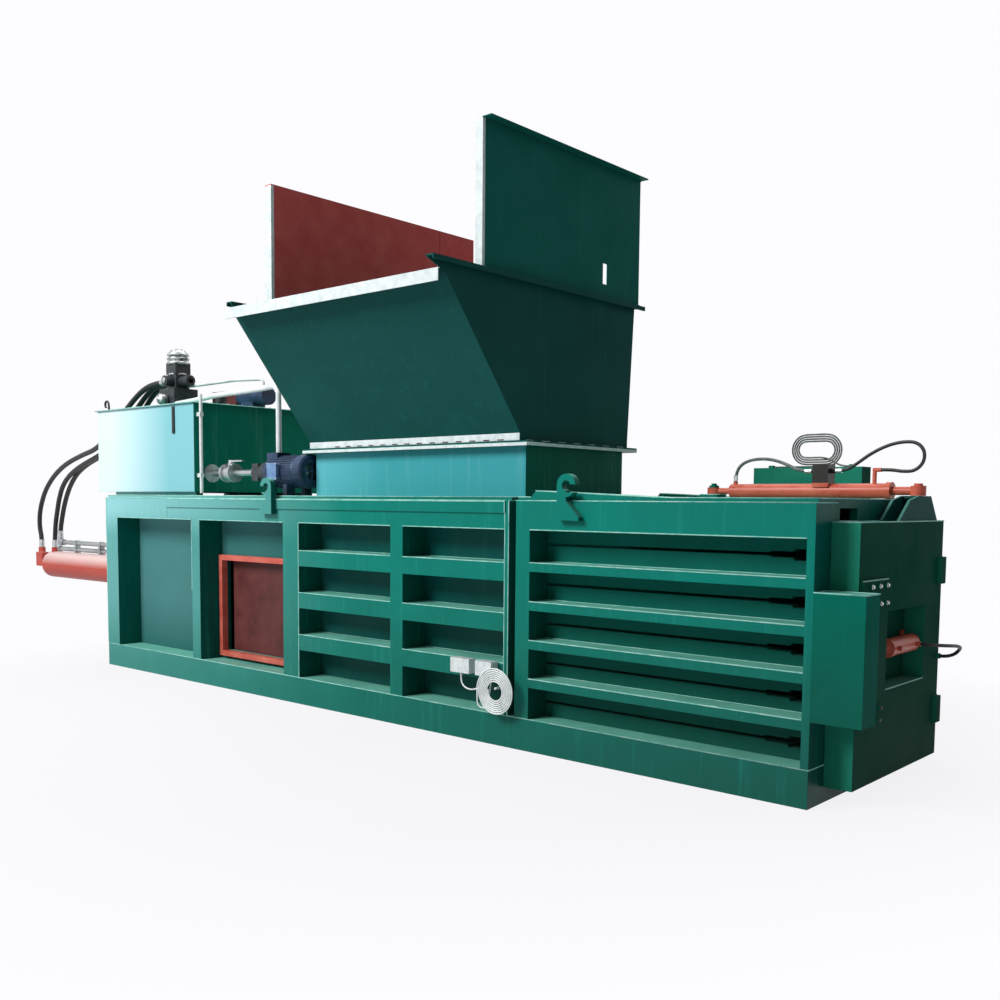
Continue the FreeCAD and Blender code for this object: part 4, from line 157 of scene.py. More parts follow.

# %% [markdown]
# ## Gloss enamel
# The enamel is glossy, sits thicker in some places, and gathers dust and runs below each edge. The
# recipe mixes two near tones by a slow noise and then lays thin layers over them, one after the
# other: splash dirt below, a painted sheen at the rear, painted shade on faces that look to the
# front, painted light on the long sides where asked, vertical runs, and dust with a painted top
# light on upward faces. Each layer's share comes from the height, the length or the way that the
# face looks, so it holds in any view.

# %% Enamel paint
def enamel(name, hex_main, hex_runs, gloss=0.32, specular=0.09, runs=0.3, sheen_amount=0.0, tops=0.5,
        sides=None):
    """Sprayed enamel. runs, sheen_amount and tops say how much the runs, the painted sheen at the
    rear end and the dust with painted top light on upward faces show; where there is a sheen, faces
    that look to the front get painted shade. sides gives painted light on the long sides: its
    colour at the rear and at the front, and where along X the first begins to turn to the second
    and where it has."""
    made, tree, shader = material(name)
    texture = add(tree, "ShaderNodeTexCoord")
    spot = (texture, "Object")
    where = add(tree, "ShaderNodeSeparateXYZ", Vector=spot)
    facing = add(tree, "ShaderNodeSeparateXYZ", Vector=(texture, "Normal"))
    slow = add(tree, "ShaderNodeTexNoise", Vector=spot, Scale=2.2, Detail=5.0, Roughness=0.6)
    # Runs are about 40 mm apart and 800 mm long.
    stretch = add(tree, "ShaderNodeMapping", Vector=spot, Scale=(26.0, 26.0, 1.3))
    streak = add(tree, "ShaderNodeTexNoise", Vector=(stretch, 0), Scale=1.0, Detail=4.0,
        Roughness=0.55)
    # While a reading goes from the first number to the second, its share goes from third to fourth.
    ranges = {
        "tone": ((slow, 0), 0.3, 0.72, 0.0, 1.0),
        "rough": ((slow, 0), 0.3, 0.7, gloss, gloss + 0.16),
        "low": ((where, 2), 0.1, 1.0, 0.75, 0.0),
        "door_end": ((where, 0), -2.0, 2.6, 0.15, 0.8),
        "top_beam": ((where, 2), 1.1, 1.3, 0.0, 0.45),
        "above_floor": ((where, 2), 0.1, 0.6, 0.14, 0.4),
        "rear_end": ((where, 0), -3.1, -0.1, 1.0, 0.0),
        "not_ahead": ((facing, 0), 0.4, 0.8, 1.0, 0.0),
        # The next share is painted shade on faces that look to the front.
        "ahead": ((facing, 0), 0.5, 0.9, 0.0, 0.55 if sheen_amount else 0.0),
        "streaks": ((streak, 0), 0.56, 0.8, 0.0, runs),
        "upward": ((facing, 2), 0.6, 0.9, 0.0, tops),
        "patches": ((slow, 0), 0.25, 0.6, 0.6, 1.0),
    }
    share = {}
    for label, (reading, low, high, start, end) in ranges.items():
        share[label] = (add(tree, "ShaderNodeMapRange", Value=reading, i1=low, i2=high, i3=start,
            i4=end), 0)
    # Splash dirt darkens the lowest third, and most of it at the door end, where bales come out.
    splash = add(tree, "ShaderNodeMath", times, i0=share["low"], i1=share["door_end"])
    # A painted sheen makes the rear end paler, most of all along its top beam. It is kept off faces
    # that look to the front, which get a painted shade instead.
    height = add(tree, "ShaderNodeMath", {"operation": "ADD"}, i0=share["top_beam"],
        i1=share["above_floor"])
    rear = add(tree, "ShaderNodeMath", times, i0=share["rear_end"], i1=(height, 0))
    sheen_share = add(tree, "ShaderNodeMath", times, i0=(rear, 0), i1=share["not_ahead"])
    painted_sheen = add(tree, "ShaderNodeMath", times, i0=(sheen_share, 0), i1=sheen_amount)
    dust_and_top_light = add(tree, "ShaderNodeMath", times, i0=share["upward"], i1=share["patches"])
    # The pale layer is a painted sheen, and the dark one on faces that look to the front is painted
    # shade.
    layers = [((splash, 0), linear("23463A")), ((painted_sheen, 0), linear("92CCD0")),
        (share["ahead"], linear("04332F"))]
    # The long sides get painted light, one colour at the rear turning to another at the front.
    if sides:
        hex_rear, hex_front, (rear_x, front_x) = sides
        across = add(tree, "ShaderNodeMath", {"operation": "ABSOLUTE"}, i0=(facing, 1))
        long_side = add(tree, "ShaderNodeMapRange", Value=(across, 0), i1=0.6, i2=0.8)
        forward = add(tree, "ShaderNodeMapRange", Value=(where, 0), i1=rear_x, i2=front_x)
        wash = add(tree, "ShaderNodeMix", colours, i0=(forward, 0), i6=linear(hex_rear),
            i7=linear(hex_front))
        layers.append(((long_side, 0), (wash, 2)))
    # Upward faces get pale dust, in patches, with a painted top light in it.
    layers += [(share["streaks"], linear(hex_runs)), ((dust_and_top_light, 0), linear("7CC8B4"))]
    main = linear(hex_main)
    deep = (*(v * 0.8 for v in main[:3]), 1.0)
    colour = add(tree, "ShaderNodeMix", colours, i0=share["tone"], i6=main, i7=deep)
    for amount, over in layers:
        colour = add(tree, "ShaderNodeMix", colours, i0=amount, i6=(colour, 2), i7=over)
    feed(shader, Base_Color=(colour, 2), Roughness=share["rough"], Specular_IOR_Level=specular,
        IOR=1.5)
    plate_relief(tree, shader, spot)
    return made


# %% The machine's enamels
# Teal alkyd on the frames: strong colour, wet gloss, pale where painted sheen, dust and painted top
# light lie on it, and painted shade on faces that look to the front.
teal = enamel("gloss_teal_enamel", "047A6C", "2F9C8E", sheen_amount=1.0, tops=0.8)
# The side sheets are a darker teal than the frames, with more runs, a weaker painted sheen and the
# same painted shade on faces that look to the front.
teal_wall = enamel("side_sheet_enamel", "0A5A56", "2A7870", gloss=0.4, runs=0.35, sheen_amount=0.6)
# The slotted bale walls are worn nearly bare of gloss by the bales and stand in deep shade.
slot_wall = enamel("bale_wall_enamel", "146C60", "227A6D", gloss=0.5, specular=0.03, runs=0.2,
    tops=0.3)
# The long sides of the tank and the collar have a painted sheen, palest towards the rear.
tank_paint = enamel("tank_enamel", "0C7461", "9CCFD0", gloss=0.26, specular=0.05, runs=0.12,
    sides=("CFE7EA", "7DB9C0", (-3.1, -2.25)))
collar_paint = enamel("collar_enamel", "0C6656", "A9D8D8", gloss=0.3, specular=0.03, runs=0.15,
    sides=("5CB0BA", "3D969D", (-0.75, 0.1)))
# Hopper, guard and door are a deeper green from another batch. The right guard's green is a lighter
# copy, painted light on its shaded front, and the door's long sides are lighter, painted light too.
deep_green = enamel("deep_green_enamel", "1C5450", "2C6E66", gloss=0.36, specular=0.02, tops=0.3)
guard_green = enamel("guard_enamel", "1C6C62", "2C7E70", gloss=0.36, specular=0.02, tops=0.3)
door_green = enamel("door_enamel", "0A4B3B", "1B5F4C", gloss=0.45, specular=0.01, tops=0.4,
    sides=("26846D", "26846D", (2.0, 3.4)))
latch_paint = enamel("latch_enamel", "0A6C5C", "1B8270", gloss=0.45, specular=0.01, tops=0.8)
print("enamels:", len(bpy.data.materials))

# %% [markdown]
# ## The other finishes
# Rubber, zinc plate, castings and moulded plastic differ from enamel in how they were made, not in
# how they are described: two near tones, a grain of a real size, a range of roughness and a little
# relief. One function makes them all, and each call says what the real material gives the eye.

# %% Worked surfaces
def worked(name, hex_low, hex_high, grain, rough, relief=0.0004, metal=0.0, specular=0.5, edge=0.0,
        stretch=(1, 1, 1)):
    """A surface of two near tones: grain is repeats per metre, rough the two ends of its roughness,
    relief the height of its bumps and edge the rounding of its edges in metres."""
    made, tree, shader = material(name)
    texture = add(tree, "ShaderNodeTexCoord")
    pull = add(tree, "ShaderNodeMapping", Vector=(texture, "Object"), Scale=stretch)
    cloud = add(tree, "ShaderNodeTexNoise", Vector=(pull, 0), Scale=grain, Detail=6.0,
        Roughness=0.65)
    share = add(tree, "ShaderNodeMapRange", Value=(cloud, 0), i1=0.32, i2=0.68)
    both = add(tree, "ShaderNodeMix", colours, i0=(share, 0), i6=linear(hex_low),
        i7=linear(hex_high))
    rub = add(tree, "ShaderNodeMapRange", Value=(cloud, 0), i1=0.3, i2=0.7, i3=rough[0],
        i4=rough[1])
    fine = add(tree, "ShaderNodeTexNoise", Vector=(pull, 0), Scale=grain * 9, Detail=3.0)
    skin = add(tree, "ShaderNodeBump", Height=(fine, 0), Strength=0.4, Distance=relief)
    if edge:
        rounded = add(tree, "ShaderNodeBevel", {"samples": 4}, Radius=edge)
        feed(skin, Normal=(rounded, 0))
    feed(shader, Base_Color=(both, 2), Roughness=(rub, 0), Metallic=metal,
        Specular_IOR_Level=specular, Normal=(skin, 0))
    return made


# %% Painted and rubber finishes
# Red oxide primer is flat and chalky, with no top coat over it.
primer = worked("red_oxide_primer", "BA4C4A", "CC625C", 6, (0.6, 0.8), specular=0.1, edge=0.003)
# The ram and the cooler pump are under a darker primer.
dark_primer = worked("dark_red_primer", "4A2322", "653533", 5, (0.4, 0.6), specular=0.2, edge=0.003)
# Orange and signal red enamel on the cylinders and the window frame, faded by oil and dust.
orange, block_orange = (
    worked(name, "C04C3A", "D66F58", 7, (0.26, 0.42), 0.0003, specular=0.25, edge=0.002)
    for name in ("orange_cylinder_enamel", "orange_enamel_and_block"))
barrel_red = worked("cylinder_enamel_dust_and_highlight", "A83C32", "BC574B", 5, (0.3, 0.45), 0.0003,
    specular=0.1, stretch=(0.3, 1, 1))
frame_red = worked("signal_red_enamel", "B44438", "CF6F60", 6, (0.3, 0.45), 0.0003, specular=0.3,
    edge=0.003)
# Machinery blue on the electric motors, satin, over rough cast iron.
motor_blue = worked("motor_blue_enamel", "121F34", "2E4664", 9, (0.3, 0.5), 0.0008, specular=0.3,
    edge=0.003)
# Oil hose cover: black nitrile rubber with the fine cross marks of its curing wrap.
rubber = worked("nitrile_hose_cover", "0E1011", "212526", 60, (0.38, 0.6), specular=0.4)
grey_rubber = worked("worn_hose_cover", "3B4243", "79837F", 45, (0.45, 0.65), specular=0.35)
print("materials:", len(bpy.data.materials))

# %% Metals and plastics
# Zinc plated steel on fittings and bolts: bright, a little cloudy.
zinc = worked("zinc_plated_steel", "A9ADAF", "D6D9DA", 30, (0.24, 0.42), 0.0002, metal=1.0,
    edge=0.0015)
# Drawn steel tube: the die leaves long faint lines along it.
steel = worked("drawn_steel_pipe", "8F9496", "C3C8CA", 14, (0.28, 0.45), 0.0003, metal=1.0,
    stretch=(0.2, 1, 1))
# Hard chrome on the piston rods, ground along no visible direction.
chrome = worked("hard_chrome", "D2D5D6", "E4E6E7", 4, (0.08, 0.14), 0.00005, metal=1.0)
# Cast iron valve bodies with a thin black paint.
cast = worked("painted_cast_iron", "1B1F22", "3A4146", 25, (0.42, 0.62), 0.0008, specular=0.4,
    edge=0.002)
# Light grey glass-filled housing plastic, and the white PVC of the cable and conduit.
box_plastic = worked("light_grey_housing_plastic", "BFC8C8", "DCE3E3", 40, (0.35, 0.5), 0.0003,
    edge=0.003)
white_pvc = worked("white_pvc_cable_sheath", "D9DEDE", "F1F4F4", 25, (0.38, 0.5), 0.0002)
conduit_white = worked("pale_painted_conduit", "C2CBCB", "E2E7E7", 12, (0.3, 0.45), 0.0003)
# Caps and plugs moulded in black, slightly matt from the mould.
black_part = worked("black_moulded_plastic", "101213", "26292B", 40, (0.35, 0.55), 0.0003,
    specular=0.4)
print("materials:", len(bpy.data.materials))

# %% [markdown]
# ## A second colour on one solid
# The door's lift cylinder carries a dark cast valve block on its back, and the long barrel lies in
# the open, where its upper half has pale dust with a painted highlight on it while its flank keeps
# its red. Both change colour within one solid, so a second colour is laid over the first where a
# share is above zero.

# %% Dark block, and painted highlight on the barrel
def overlay(finish, share, hex_colour):
    """Lays a second colour over a finish where the share is above zero."""
    shader = finish.node_tree.nodes["Principled BSDF"]
    under = shader.inputs["Base Color"].links[0].from_node
    mixed = add(finish.node_tree, "ShaderNodeMix", colours, i0=share, i6=(under, 2),
        i7=linear(hex_colour))
    feed(shader, Base_Color=(mixed, 2))


tree = block_orange.node_tree
where = add(tree, "ShaderNodeSeparateXYZ", Vector=(add(tree, "ShaderNodeTexCoord"), "Object"))
inside = 1.0
block_limits = [(0, "GREATER_THAN", 2.632), (0, "LESS_THAN", 2.776), (2, "GREATER_THAN", 1.509)]
for axis, test, limit in block_limits:
    past = add(tree, "ShaderNodeMath", {"operation": test}, i0=(where, axis), i1=limit)
    inside = (add(tree, "ShaderNodeMath", times, i0=inside, i1=(past, 0)), 0)
overlay(block_orange, inside, "2A2624")

tree = barrel_red.node_tree
facing = add(tree, "ShaderNodeSeparateXYZ", Vector=(add(tree, "ShaderNodeTexCoord"), "Normal"))
# The upper faces get pale dust with a painted highlight, more the more they look up.
dust_and_highlight = add(tree, "ShaderNodeMapRange", Value=(facing, 2), i1=0.05, i2=0.75, i3=0.0, i4=0.8)
overlay(barrel_red, (dust_and_highlight, 0), "E9D6D2")
print("block spans", [limit for axis, test, limit in block_limits])

# %% [markdown]
# ## Hoses and cables
# A hydraulic hose is stiff: wire layers in its wall let it bend only in wide curves. A NURBS spline
# with few control points bends in the same even way, so each cord is one spline of third order with
# the route's own points, and a round bevel gives the outer diameter.

# %% Survey points and the cord helper
body_middle_x, body_middle_y = 3131, 700
pressure_hose, door_hose, cable, lead = 22.5, 9, 4.5, 5
cord_nodes = []


def survey(x, y, z):
    """A point in mm from the body's rear end, near face and floor, in the model's metres."""
    return Vector(((x - body_middle_x) / 1000, (y - body_middle_y) / 1000, z / 1000))


def cord(name, node, spots, radius, finish, length, body="machine"):
    """One free hose or cable along its route, with its real length printed."""
    curve = bpy.data.curves.new(name, "CURVE")
    curve.dimensions = "3D"
    spline = curve.splines.new("NURBS")
    spline.points.add(len(spots) - 1)
    for point, spot in zip(spline.points, spots):
        point.co = (*survey(*spot), 1)
    spline.order_u = 3
    spline.use_endpoint_u = True
    curve.bevel_depth = radius / 1000
    curve.bevel_resolution = 5
    curve.resolution_u = 10
    curve.use_fill_caps = True
    curve.materials.append(finish)
    made = in_scene(name, curve)
    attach(made, body)
    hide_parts(node)
    cord_nodes.append(node)
    print(name, len(spots), "points,", length, "m")


# %% Pressure hoses, from the valve stack to the cylinder
hose_one = [(378, 351, 2358), (200, 351, 2358), (20, 345, 2318), (-200, 332, 2190),
    (-520, 350, 1990), (-924, 425, 1848), (-1325, 466, 1794), (-1692, 500, 1722),
    (-2000, 533, 1616), (-2240, 562, 1482), (-2400, 592, 1350), (-2487, 608, 1225),
    (-2514, 618, 1095), (-2490, 626, 985), (-2490, 626, 887.5)]
hose_two = [(378, 400, 2358), (190, 400, 2358), (10, 405, 2304), (-220, 420, 2172),
    (-520, 435, 1972), (-830, 470, 1832), (-1130, 503, 1768), (-1439, 530, 1705),
    (-1720, 556, 1622), (-1925, 582, 1518), (-2062, 610, 1385), (-2150, 634, 1275),
    (-2235, 656, 1165), (-2310, 683, 1055), (-2335, 690, 958), (-2335, 690, 887.5)]
hose_three = [(378, 449, 2358), (190, 449, 2358), (0, 460, 2296), (-240, 490, 2152),
    (-540, 515, 1960), (-860, 538, 1835), (-1190, 560, 1769), (-1450, 580, 1708),
    (-1660, 598, 1632), (-1840, 622, 1525), (-1975, 650, 1425), (-2080, 672, 1320),
    (-2160, 692, 1225), (-2212, 699, 1125), (-2230, 700, 1050), (-2230, 700, 985.5)]
cord("pressure_hose_rear", "hose_one", hose_one, pressure_hose, rubber, 3.511)
cord("pressure_hose_second", "hose_two", hose_two, pressure_hose, rubber, 3.271)
cord("pressure_hose_front", "hose_three", hose_three, pressure_hose, rubber, 3.105)

# %% Door hoses
tail_hose = [(5305, 1000, 1520), (5305, 1000, 1572), (5345, 1003, 1626), (5425, 1008, 1648),
    (5525, 1010, 1644), (5620, 1006, 1612), (5700, 1000, 1574), (5770, 1000, 1574)]
rod_hose = [(5900, 1000, 1574), (5955, 1000, 1574), (6012, 1003, 1606), (6085, 1008, 1660),
    (6170, 1013, 1702), (6250, 1015, 1720), (6325.6, 1012, 1716), (6368.9, 1008, 1672.6),
    (6368.9, 1004, 1611.4), (6325.6, 1002, 1568), (6262, 1001, 1566), (6205, 1000, 1576),
    (6153, 1000, 1576)]
lock_hose = [(6414, 935, 690), (6466, 935, 690), (6506, 968, 688), (6530, 1020, 684),
    (6538, 1085, 678), (6535, 1146, 668), (6524, 1200, 652), (6490, 1224, 616),
    (6446, 1220, 600), (6416, 1220, 600)]
cord("door_tail_hose", "tail_hose", tail_hose, door_hose, grey_rubber, 0.555, "lift_barrel")
cord("door_rod_hose", "rod_hose", rod_hose, door_hose, rubber, 0.808, "lift_barrel")
cord("door_lock_hose", "lock_hose", lock_hose, door_hose, rubber, 0.470, "bale_door")

# %% [markdown]
# ## Coils
# Spare cable is wound in flat loops on a peg. A loop of a quadratic spline is round when its
# control points stand on the corners of a polygon drawn round the circle, twelve to a turn, so each
# half turn is given six such corners, and each next half turn is a little smaller.

# %% Half a turn of a coil
def half_turn(centre, radius, first, sweep, plane):
    """Six control points round half a circle: angles in degrees, 0 towards +X and 90 up."""
    reach = radius / math.cos(math.radians(15))
    corners = []
    for step in range(6):
        angle = math.radians(first + sweep * (step + 0.5) / 6)
        across, up = reach * math.cos(angle), reach * math.sin(angle)
        corners.append((centre[0] + across, plane, centre[1] + up))
    return corners


print("half turn:", len(half_turn((0, 0), 100, 90, 180, 0)), "points")

# %% Cable between the boxes, and the spare cable on its peg
box_cable = [(4116, -30, 382), (4116, -30, 352), (4132, -32, 324), (4164, -34, 309),
    (4202, -34, 306), (4240, -33, 315), (4268, -31, 330), (4282, -30, 356),
    (4282, -30, 382)]
coil_lead = [(4348, -30, 382), (4348, -30, 346), (4343, -33, 306), (4341, -36, 268),
    (4340, -41, 236), (4322, -48, 217), (4296, -57, 217), (4278, -64, 236),
    (4277, -66, 268), (4277, -66, 314)]
peg_z, coil_y = 323, -66
half_turns, shrink = 14, 6
middle, radius, side = 4408, 131, 1
cable_coil = [(4277, coil_y, 314), (4277, coil_y, peg_z)]
for index in range(half_turns):
    cable_coil += half_turn((middle, peg_z), radius, 90 + 90 * side, -180, coil_y)
    radius -= shrink
    middle += shrink * side
    side = -side
last_x = middle - radius * side
cable_coil += [(last_x, coil_y, peg_z), (last_x, coil_y, peg_z + 9 * side)]
cord("junction_box_cable", "box_cable", box_cable, cable, white_pvc, 0.259)
cord("coil_lead_cable", "coil_lead", coil_lead, cable, white_pvc, 0.302)
cord("spare_cable_coil", "cable_coil", cable_coil, cable, white_pvc, 4.064)

# %% Control lead wound on the roof
rear_x, middle_x, front_x, lead_y = 5580, 5640, 5700, 1320
turns, shrink = 4, 6.5
roof_z = 1610.3
low, radius = roof_z, 92
lead_coil = [(5380, lead_y, low)]
for index in range(turns):
    lead_coil += [(middle_x, lead_y, low)]
    lead_coil += half_turn((front_x, low + radius), radius, -90, 180, lead_y)
    high = low + 2 * radius
    radius -= shrink
    lead_coil += [(middle_x, lead_y, high)]
    lead_coil += half_turn((rear_x, high - radius), radius, 90, 180, lead_y)
    low = high - 2 * radius
    radius -= shrink
lead_coil += [(5630, lead_y, low), (5685, 1308, low), (5740, 1304, low - 14),
    (5795, 1304, roof_z), (5850, 1304, roof_z)]
cord("control_lead_coil", "lead_coil", lead_coil, lead, grey_rubber, 3.183)
print("cords:", len(cord_nodes))

# %% [markdown]
# ## Paint on the solids
# The CAD solids already have the right shape, so each keeps its mesh and only gets a finish. On the
# real machine the body is teal, the hopper and door are a deeper green, one guard was never painted
# over its primer, and bought-in parts keep their makers' colours.

# %% Finishes of the solids
near_frames = ["near_rear_frame", "near_feed_frame", "near_bale_frame"]
frames = near_frames + ["far_rear_frame", "far_feed_frame", "far_bale_frame"]
finishes = {
    teal: [*frames, "base_frame", "top_deck", "bale_roof", "lifting_hooks", "tail_bracket"],
    latch_paint: ["latch_box"],
    teal_wall: ["near_side_sheet", "far_side_sheet", "rear_wall"],
    slot_wall: ["near_bale_wall", "far_bale_wall"],
    tank_paint: ["oil_tank"],
    collar_paint: ["feed_collar"],
    guard_green: ["right_guard"],
    deep_green: ["feed_hopper", "door_bracket", "cylinder_cradle"],
    door_green: ["door", "hinge_brackets", "door_valve_box"],
    primer: ["left_guard"],
    dark_primer: ["ram", "cooler_pump"],
    orange: ["lock_cylinder", "cylinder_head", "door_cylinder_rod"],
    block_orange: ["door_cylinder"],
    barrel_red: ["main_barrel"],
    frame_red: ["window_frame"],
    motor_blue: ["drive_motor", "cooler_motor", "motor_cowl"],
    zinc: ["lock_bolt", "valve_lever", "motor_rotor"],
    steel: ["oil_pipes", "suction_line"],
    chrome: ["main_rod"],
    cast: ["solenoid_valves", "valve_manifold", "oil_pump"],
    box_plastic: ["junction_boxes"],
    conduit_white: ["conduit"],
    black_part: ["tank_fittings"],
}
dressed = set()
for finish, names in finishes.items():
    for name in names:
        for item in nodes[name].material_slots:
            item.material = finish
        dressed.add(name)
print("dressed:", len(dressed), "left bare:", sorted(set(nodes) - dressed - set(cord_nodes)))

# %% [markdown]
# ## Growing detail along paths
# Welds, painted edge highlights and crimped sleeves all follow a line. A Geometry Nodes tree turns
# any mesh of bare edges into tubes whose radius swells in a steady rhythm, so one tree serves all
# three: a weld has a short rhythm, an edge highlight has none, and a sleeve has a few deep rings.
# The tree is built here by script, its sizes are named inputs, and the result is kept as a plain
# mesh.

# %% Tree helpers
def grow_tree(name, inputs):
    """A Geometry Nodes tree with named inputs: the tree, its input node and its output node."""
    tree = bpy.data.node_groups.new(name, "GeometryNodeTree")
    geometry = "NodeSocketGeometry"
    tree.interface.new_socket("Geometry", in_out="INPUT", socket_type=geometry)
    for label, kind in inputs.items():
        tree.interface.new_socket(label, in_out="INPUT", socket_type="NodeSocket" + kind)
    tree.interface.new_socket("Geometry", in_out="OUTPUT", socket_type=geometry)
    return tree, tree.nodes.new("NodeGroupInput"), tree.nodes.new("NodeGroupOutput")


def close_tree(tree, shape, start, end):
    """Ends a tree: instances made real, in the material that its Finish input gives."""
    real = add(tree, "GeometryNodeRealizeInstances", i0=(shape, 0))
    painted = add(tree, "GeometryNodeSetMaterial", Geometry=(real, 0), Material=(start, "Finish"))
    feed(end, i0=(painted, 0))
    print(tree.name, "has", len(tree.nodes), "nodes")


def placed(name, mesh, body):
    """A finished piece at the origin, riding on its body."""
    made = in_scene(name, mesh)
    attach(made, body)
    print(name, "triangles:", sum(len(face.vertices) - 2 for face in mesh.polygons))


def grown(name, mesh, tree, values, body="machine"):
    """Runs a tree on a base mesh and keeps the result as a plain mesh."""
    base = in_scene(name + "_base", mesh)
    modifier = base.modifiers.new("grow", "NODES")
    modifier.node_group = tree
    for socket in tree.interface.items_tree:
        if socket.in_out == "INPUT" and socket.name in values:
            modifier[socket.identifier] = values[socket.name]
    ready = base.evaluated_get(bpy.context.evaluated_depsgraph_get())
    plain = bpy.data.meshes.new_from_object(ready)
    bpy.data.objects.remove(base)
    plain.name = name
    placed(name, plain, body)


# %% The bead tree
bead, start, end = grow_tree("rippled_bead", {
    "Radius": "Float", "Ripple": "Float", "Step": "Float", "Sides": "Int", "Sharp": "Bool",
    "Finish": "Material"})
path = add(bead, "GeometryNodeMeshToCurve", i0=(start, "Geometry"))
even = add(bead, "GeometryNodeResampleCurve", {"mode": "LENGTH"}, Curve=(path, 0),
    Length=(start, "Step"))
# Even steps would cut the corners of a straight edge, so a sharp path keeps its own points.
chosen = add(bead, "GeometryNodeSwitch", {"input_type": "GEOMETRY"}, Switch=(start, "Sharp"),
    i1=(even, 0), i2=(path, 0))
# Every second point is swollen by the ripple.
count = add(bead, "GeometryNodeInputIndex")
parity = add(bead, "ShaderNodeMath", {"operation": "MODULO"}, i0=(count, 0), i1=2.0)
swell = add(bead, "ShaderNodeMath", {"operation": "MULTIPLY_ADD"}, i0=(parity, 0),
    i1=(start, "Ripple"), i2=1.0)
sized = add(bead, "GeometryNodeSetCurveRadius", Curve=(chosen, 0), Radius=(swell, 0))
section = add(bead, "GeometryNodeCurvePrimitiveCircle", Resolution=(start, "Sides"),
    Radius=(start, "Radius"))
tube = add(bead, "GeometryNodeCurveToMesh", Curve=(sized, 0), Profile_Curve=(section, 0),
    Fill_Caps=True)
soft = add(bead, "GeometryNodeSetShadeSmooth", i0=(tube, 0))
close_tree(bead, soft, start, end)

# %% Paths from the edges of the solids
sharp_angle = 0.8
beam_bottom_z = 1.24
flange_rear, flange_front = 4415, 4455


def edge_paths(names, wanted):
    """The chosen edges of merged copies of CAD nodes, as one mesh of bare edges."""
    kept = bmesh.new()
    for name in names:
        whole = bmesh.new()
        whole.from_mesh(nodes[name].data)
        bmesh.ops.remove_doubles(whole, verts=whole.verts, dist=0.00005)
        whole.normal_update()
        for edge in whole.edges:
            if len(edge.link_faces) == 2 and wanted(edge):
                kept.edges.new([kept.verts.new(vert.co) for vert in edge.verts])
        whole.free()
    bmesh.ops.remove_doubles(kept, verts=kept.verts, dist=0.0001)
    print("edges kept of", ", ".join(names) + ":", len(kept.edges))
    mesh = bpy.data.meshes.new("edge_paths")
    kept.to_mesh(mesh)
    kept.free()
    return mesh


def lit_upper_edge(edge):
    """A long level edge under an upward face, where a pale line of painted highlight is grown."""
    run = edge.verts[1].co - edge.verts[0].co
    level_run = run.length > 0.09 and abs(run.z) < 0.3 * run.length
    up = max(face.normal.z for face in edge.link_faces)
    return edge.calc_face_angle_signed(0) > sharp_angle and level_run and up > 0.6


def beam_lip(edge):
    """The lower near edge of the top beams and the edges of the joint flange."""
    first, second = (vert.co for vert in edge.verts)
    along = abs(first.x - second.x)
    lip = all(abs(spot.z - beam_bottom_z) < 0.002 for spot in (first, second)) and along > 0.3
    joint = survey(flange_rear, 0, 0).x < first.x < survey(flange_front, 0, 0).x
    joint = joint and along < 0.001
    near = max(first.y, second.y) < survey(0, 20, 0).y
    corner = edge.calc_face_angle_signed(0) > sharp_angle
    return corner and near and (lip or joint) and edge.calc_length() > 0.05


def inner_corner(edge):
    """A corner where two plates meet and are welded."""
    return edge.calc_face_angle_signed(0) < -sharp_angle and edge.calc_length() > 0.03


def line_mesh(name, runs):
    """A mesh of bare straight edges, each run a list of survey points."""
    spots = [survey(*spot) for run in runs for spot in run]
    edges = []
    base = 0
    for run in runs:
        edges += [(base + index, base + index + 1) for index in range(len(run) - 1)]
        base += len(run)
    mesh = bpy.data.meshes.new(name)
    mesh.from_pydata(spots, edges, [])
    return mesh


# %% [markdown]
# ## Painted edge highlights
# Every upper edge of the body shows a pale line. These lines are painted highlights, grown along
# the solids' own edges.

# %% Pale edge lines
# Pale lines of painted highlight along the upper edges.
edge_highlight_paint = worked("painted_edge_highlight", "63B8AA", "B4DED4", 14, (0.4, 0.6), 0.0003, specular=0.1)
plain_edge = {"Radius": 0.0034, "Ripple": 0.0, "Step": 0.3, "Sides": 6, "Sharp": True,
    "Finish": edge_highlight_paint}
top_solids = ["top_deck", "bale_roof", "oil_tank", "feed_collar", "latch_box", "tail_bracket"]
for name, solids, wanted, body in (
        ("body_edge_lines", frames + ["base_frame"], lit_upper_edge, "machine"),
        ("top_edge_lines", top_solids, lit_upper_edge, "machine"),
        ("door_edge_lines", ["door"], lit_upper_edge, "bale_door"),
        ("joint_edge_lines", near_frames, beam_lip, "machine")):
    grown(name, edge_paths(solids, wanted), bead, plain_edge, body)

# %% [markdown]
# ## Welds
# Ribs, beams and posts are welded where they meet, by hand, in short overlapping steps, and the
# bead is painted over with the rest. Beads are grown along the solids' inner corners. The real
# ripple is a few millimetres long, and it is drawn at 12 mm, two steps of 6 mm, so that it shows.

# %% Weld beads
weld_teal = {"Radius": 0.0042, "Ripple": 0.32, "Step": 0.006, "Sides": 4, "Finish": teal}
weld_green = dict(weld_teal, Finish=deep_green)
weld_door = dict(weld_teal, Finish=door_green)
for name, solids, weld, body in (
        *((frame_name + "_welds", [frame_name], weld_teal, "machine") for frame_name in frames),
        ("hopper_welds", ["feed_hopper", "right_guard"], weld_green, "machine"),
        ("door_welds", ["door"], weld_door, "bale_door")):
    grown(name, edge_paths(solids, inner_corner), bead, weld, body)

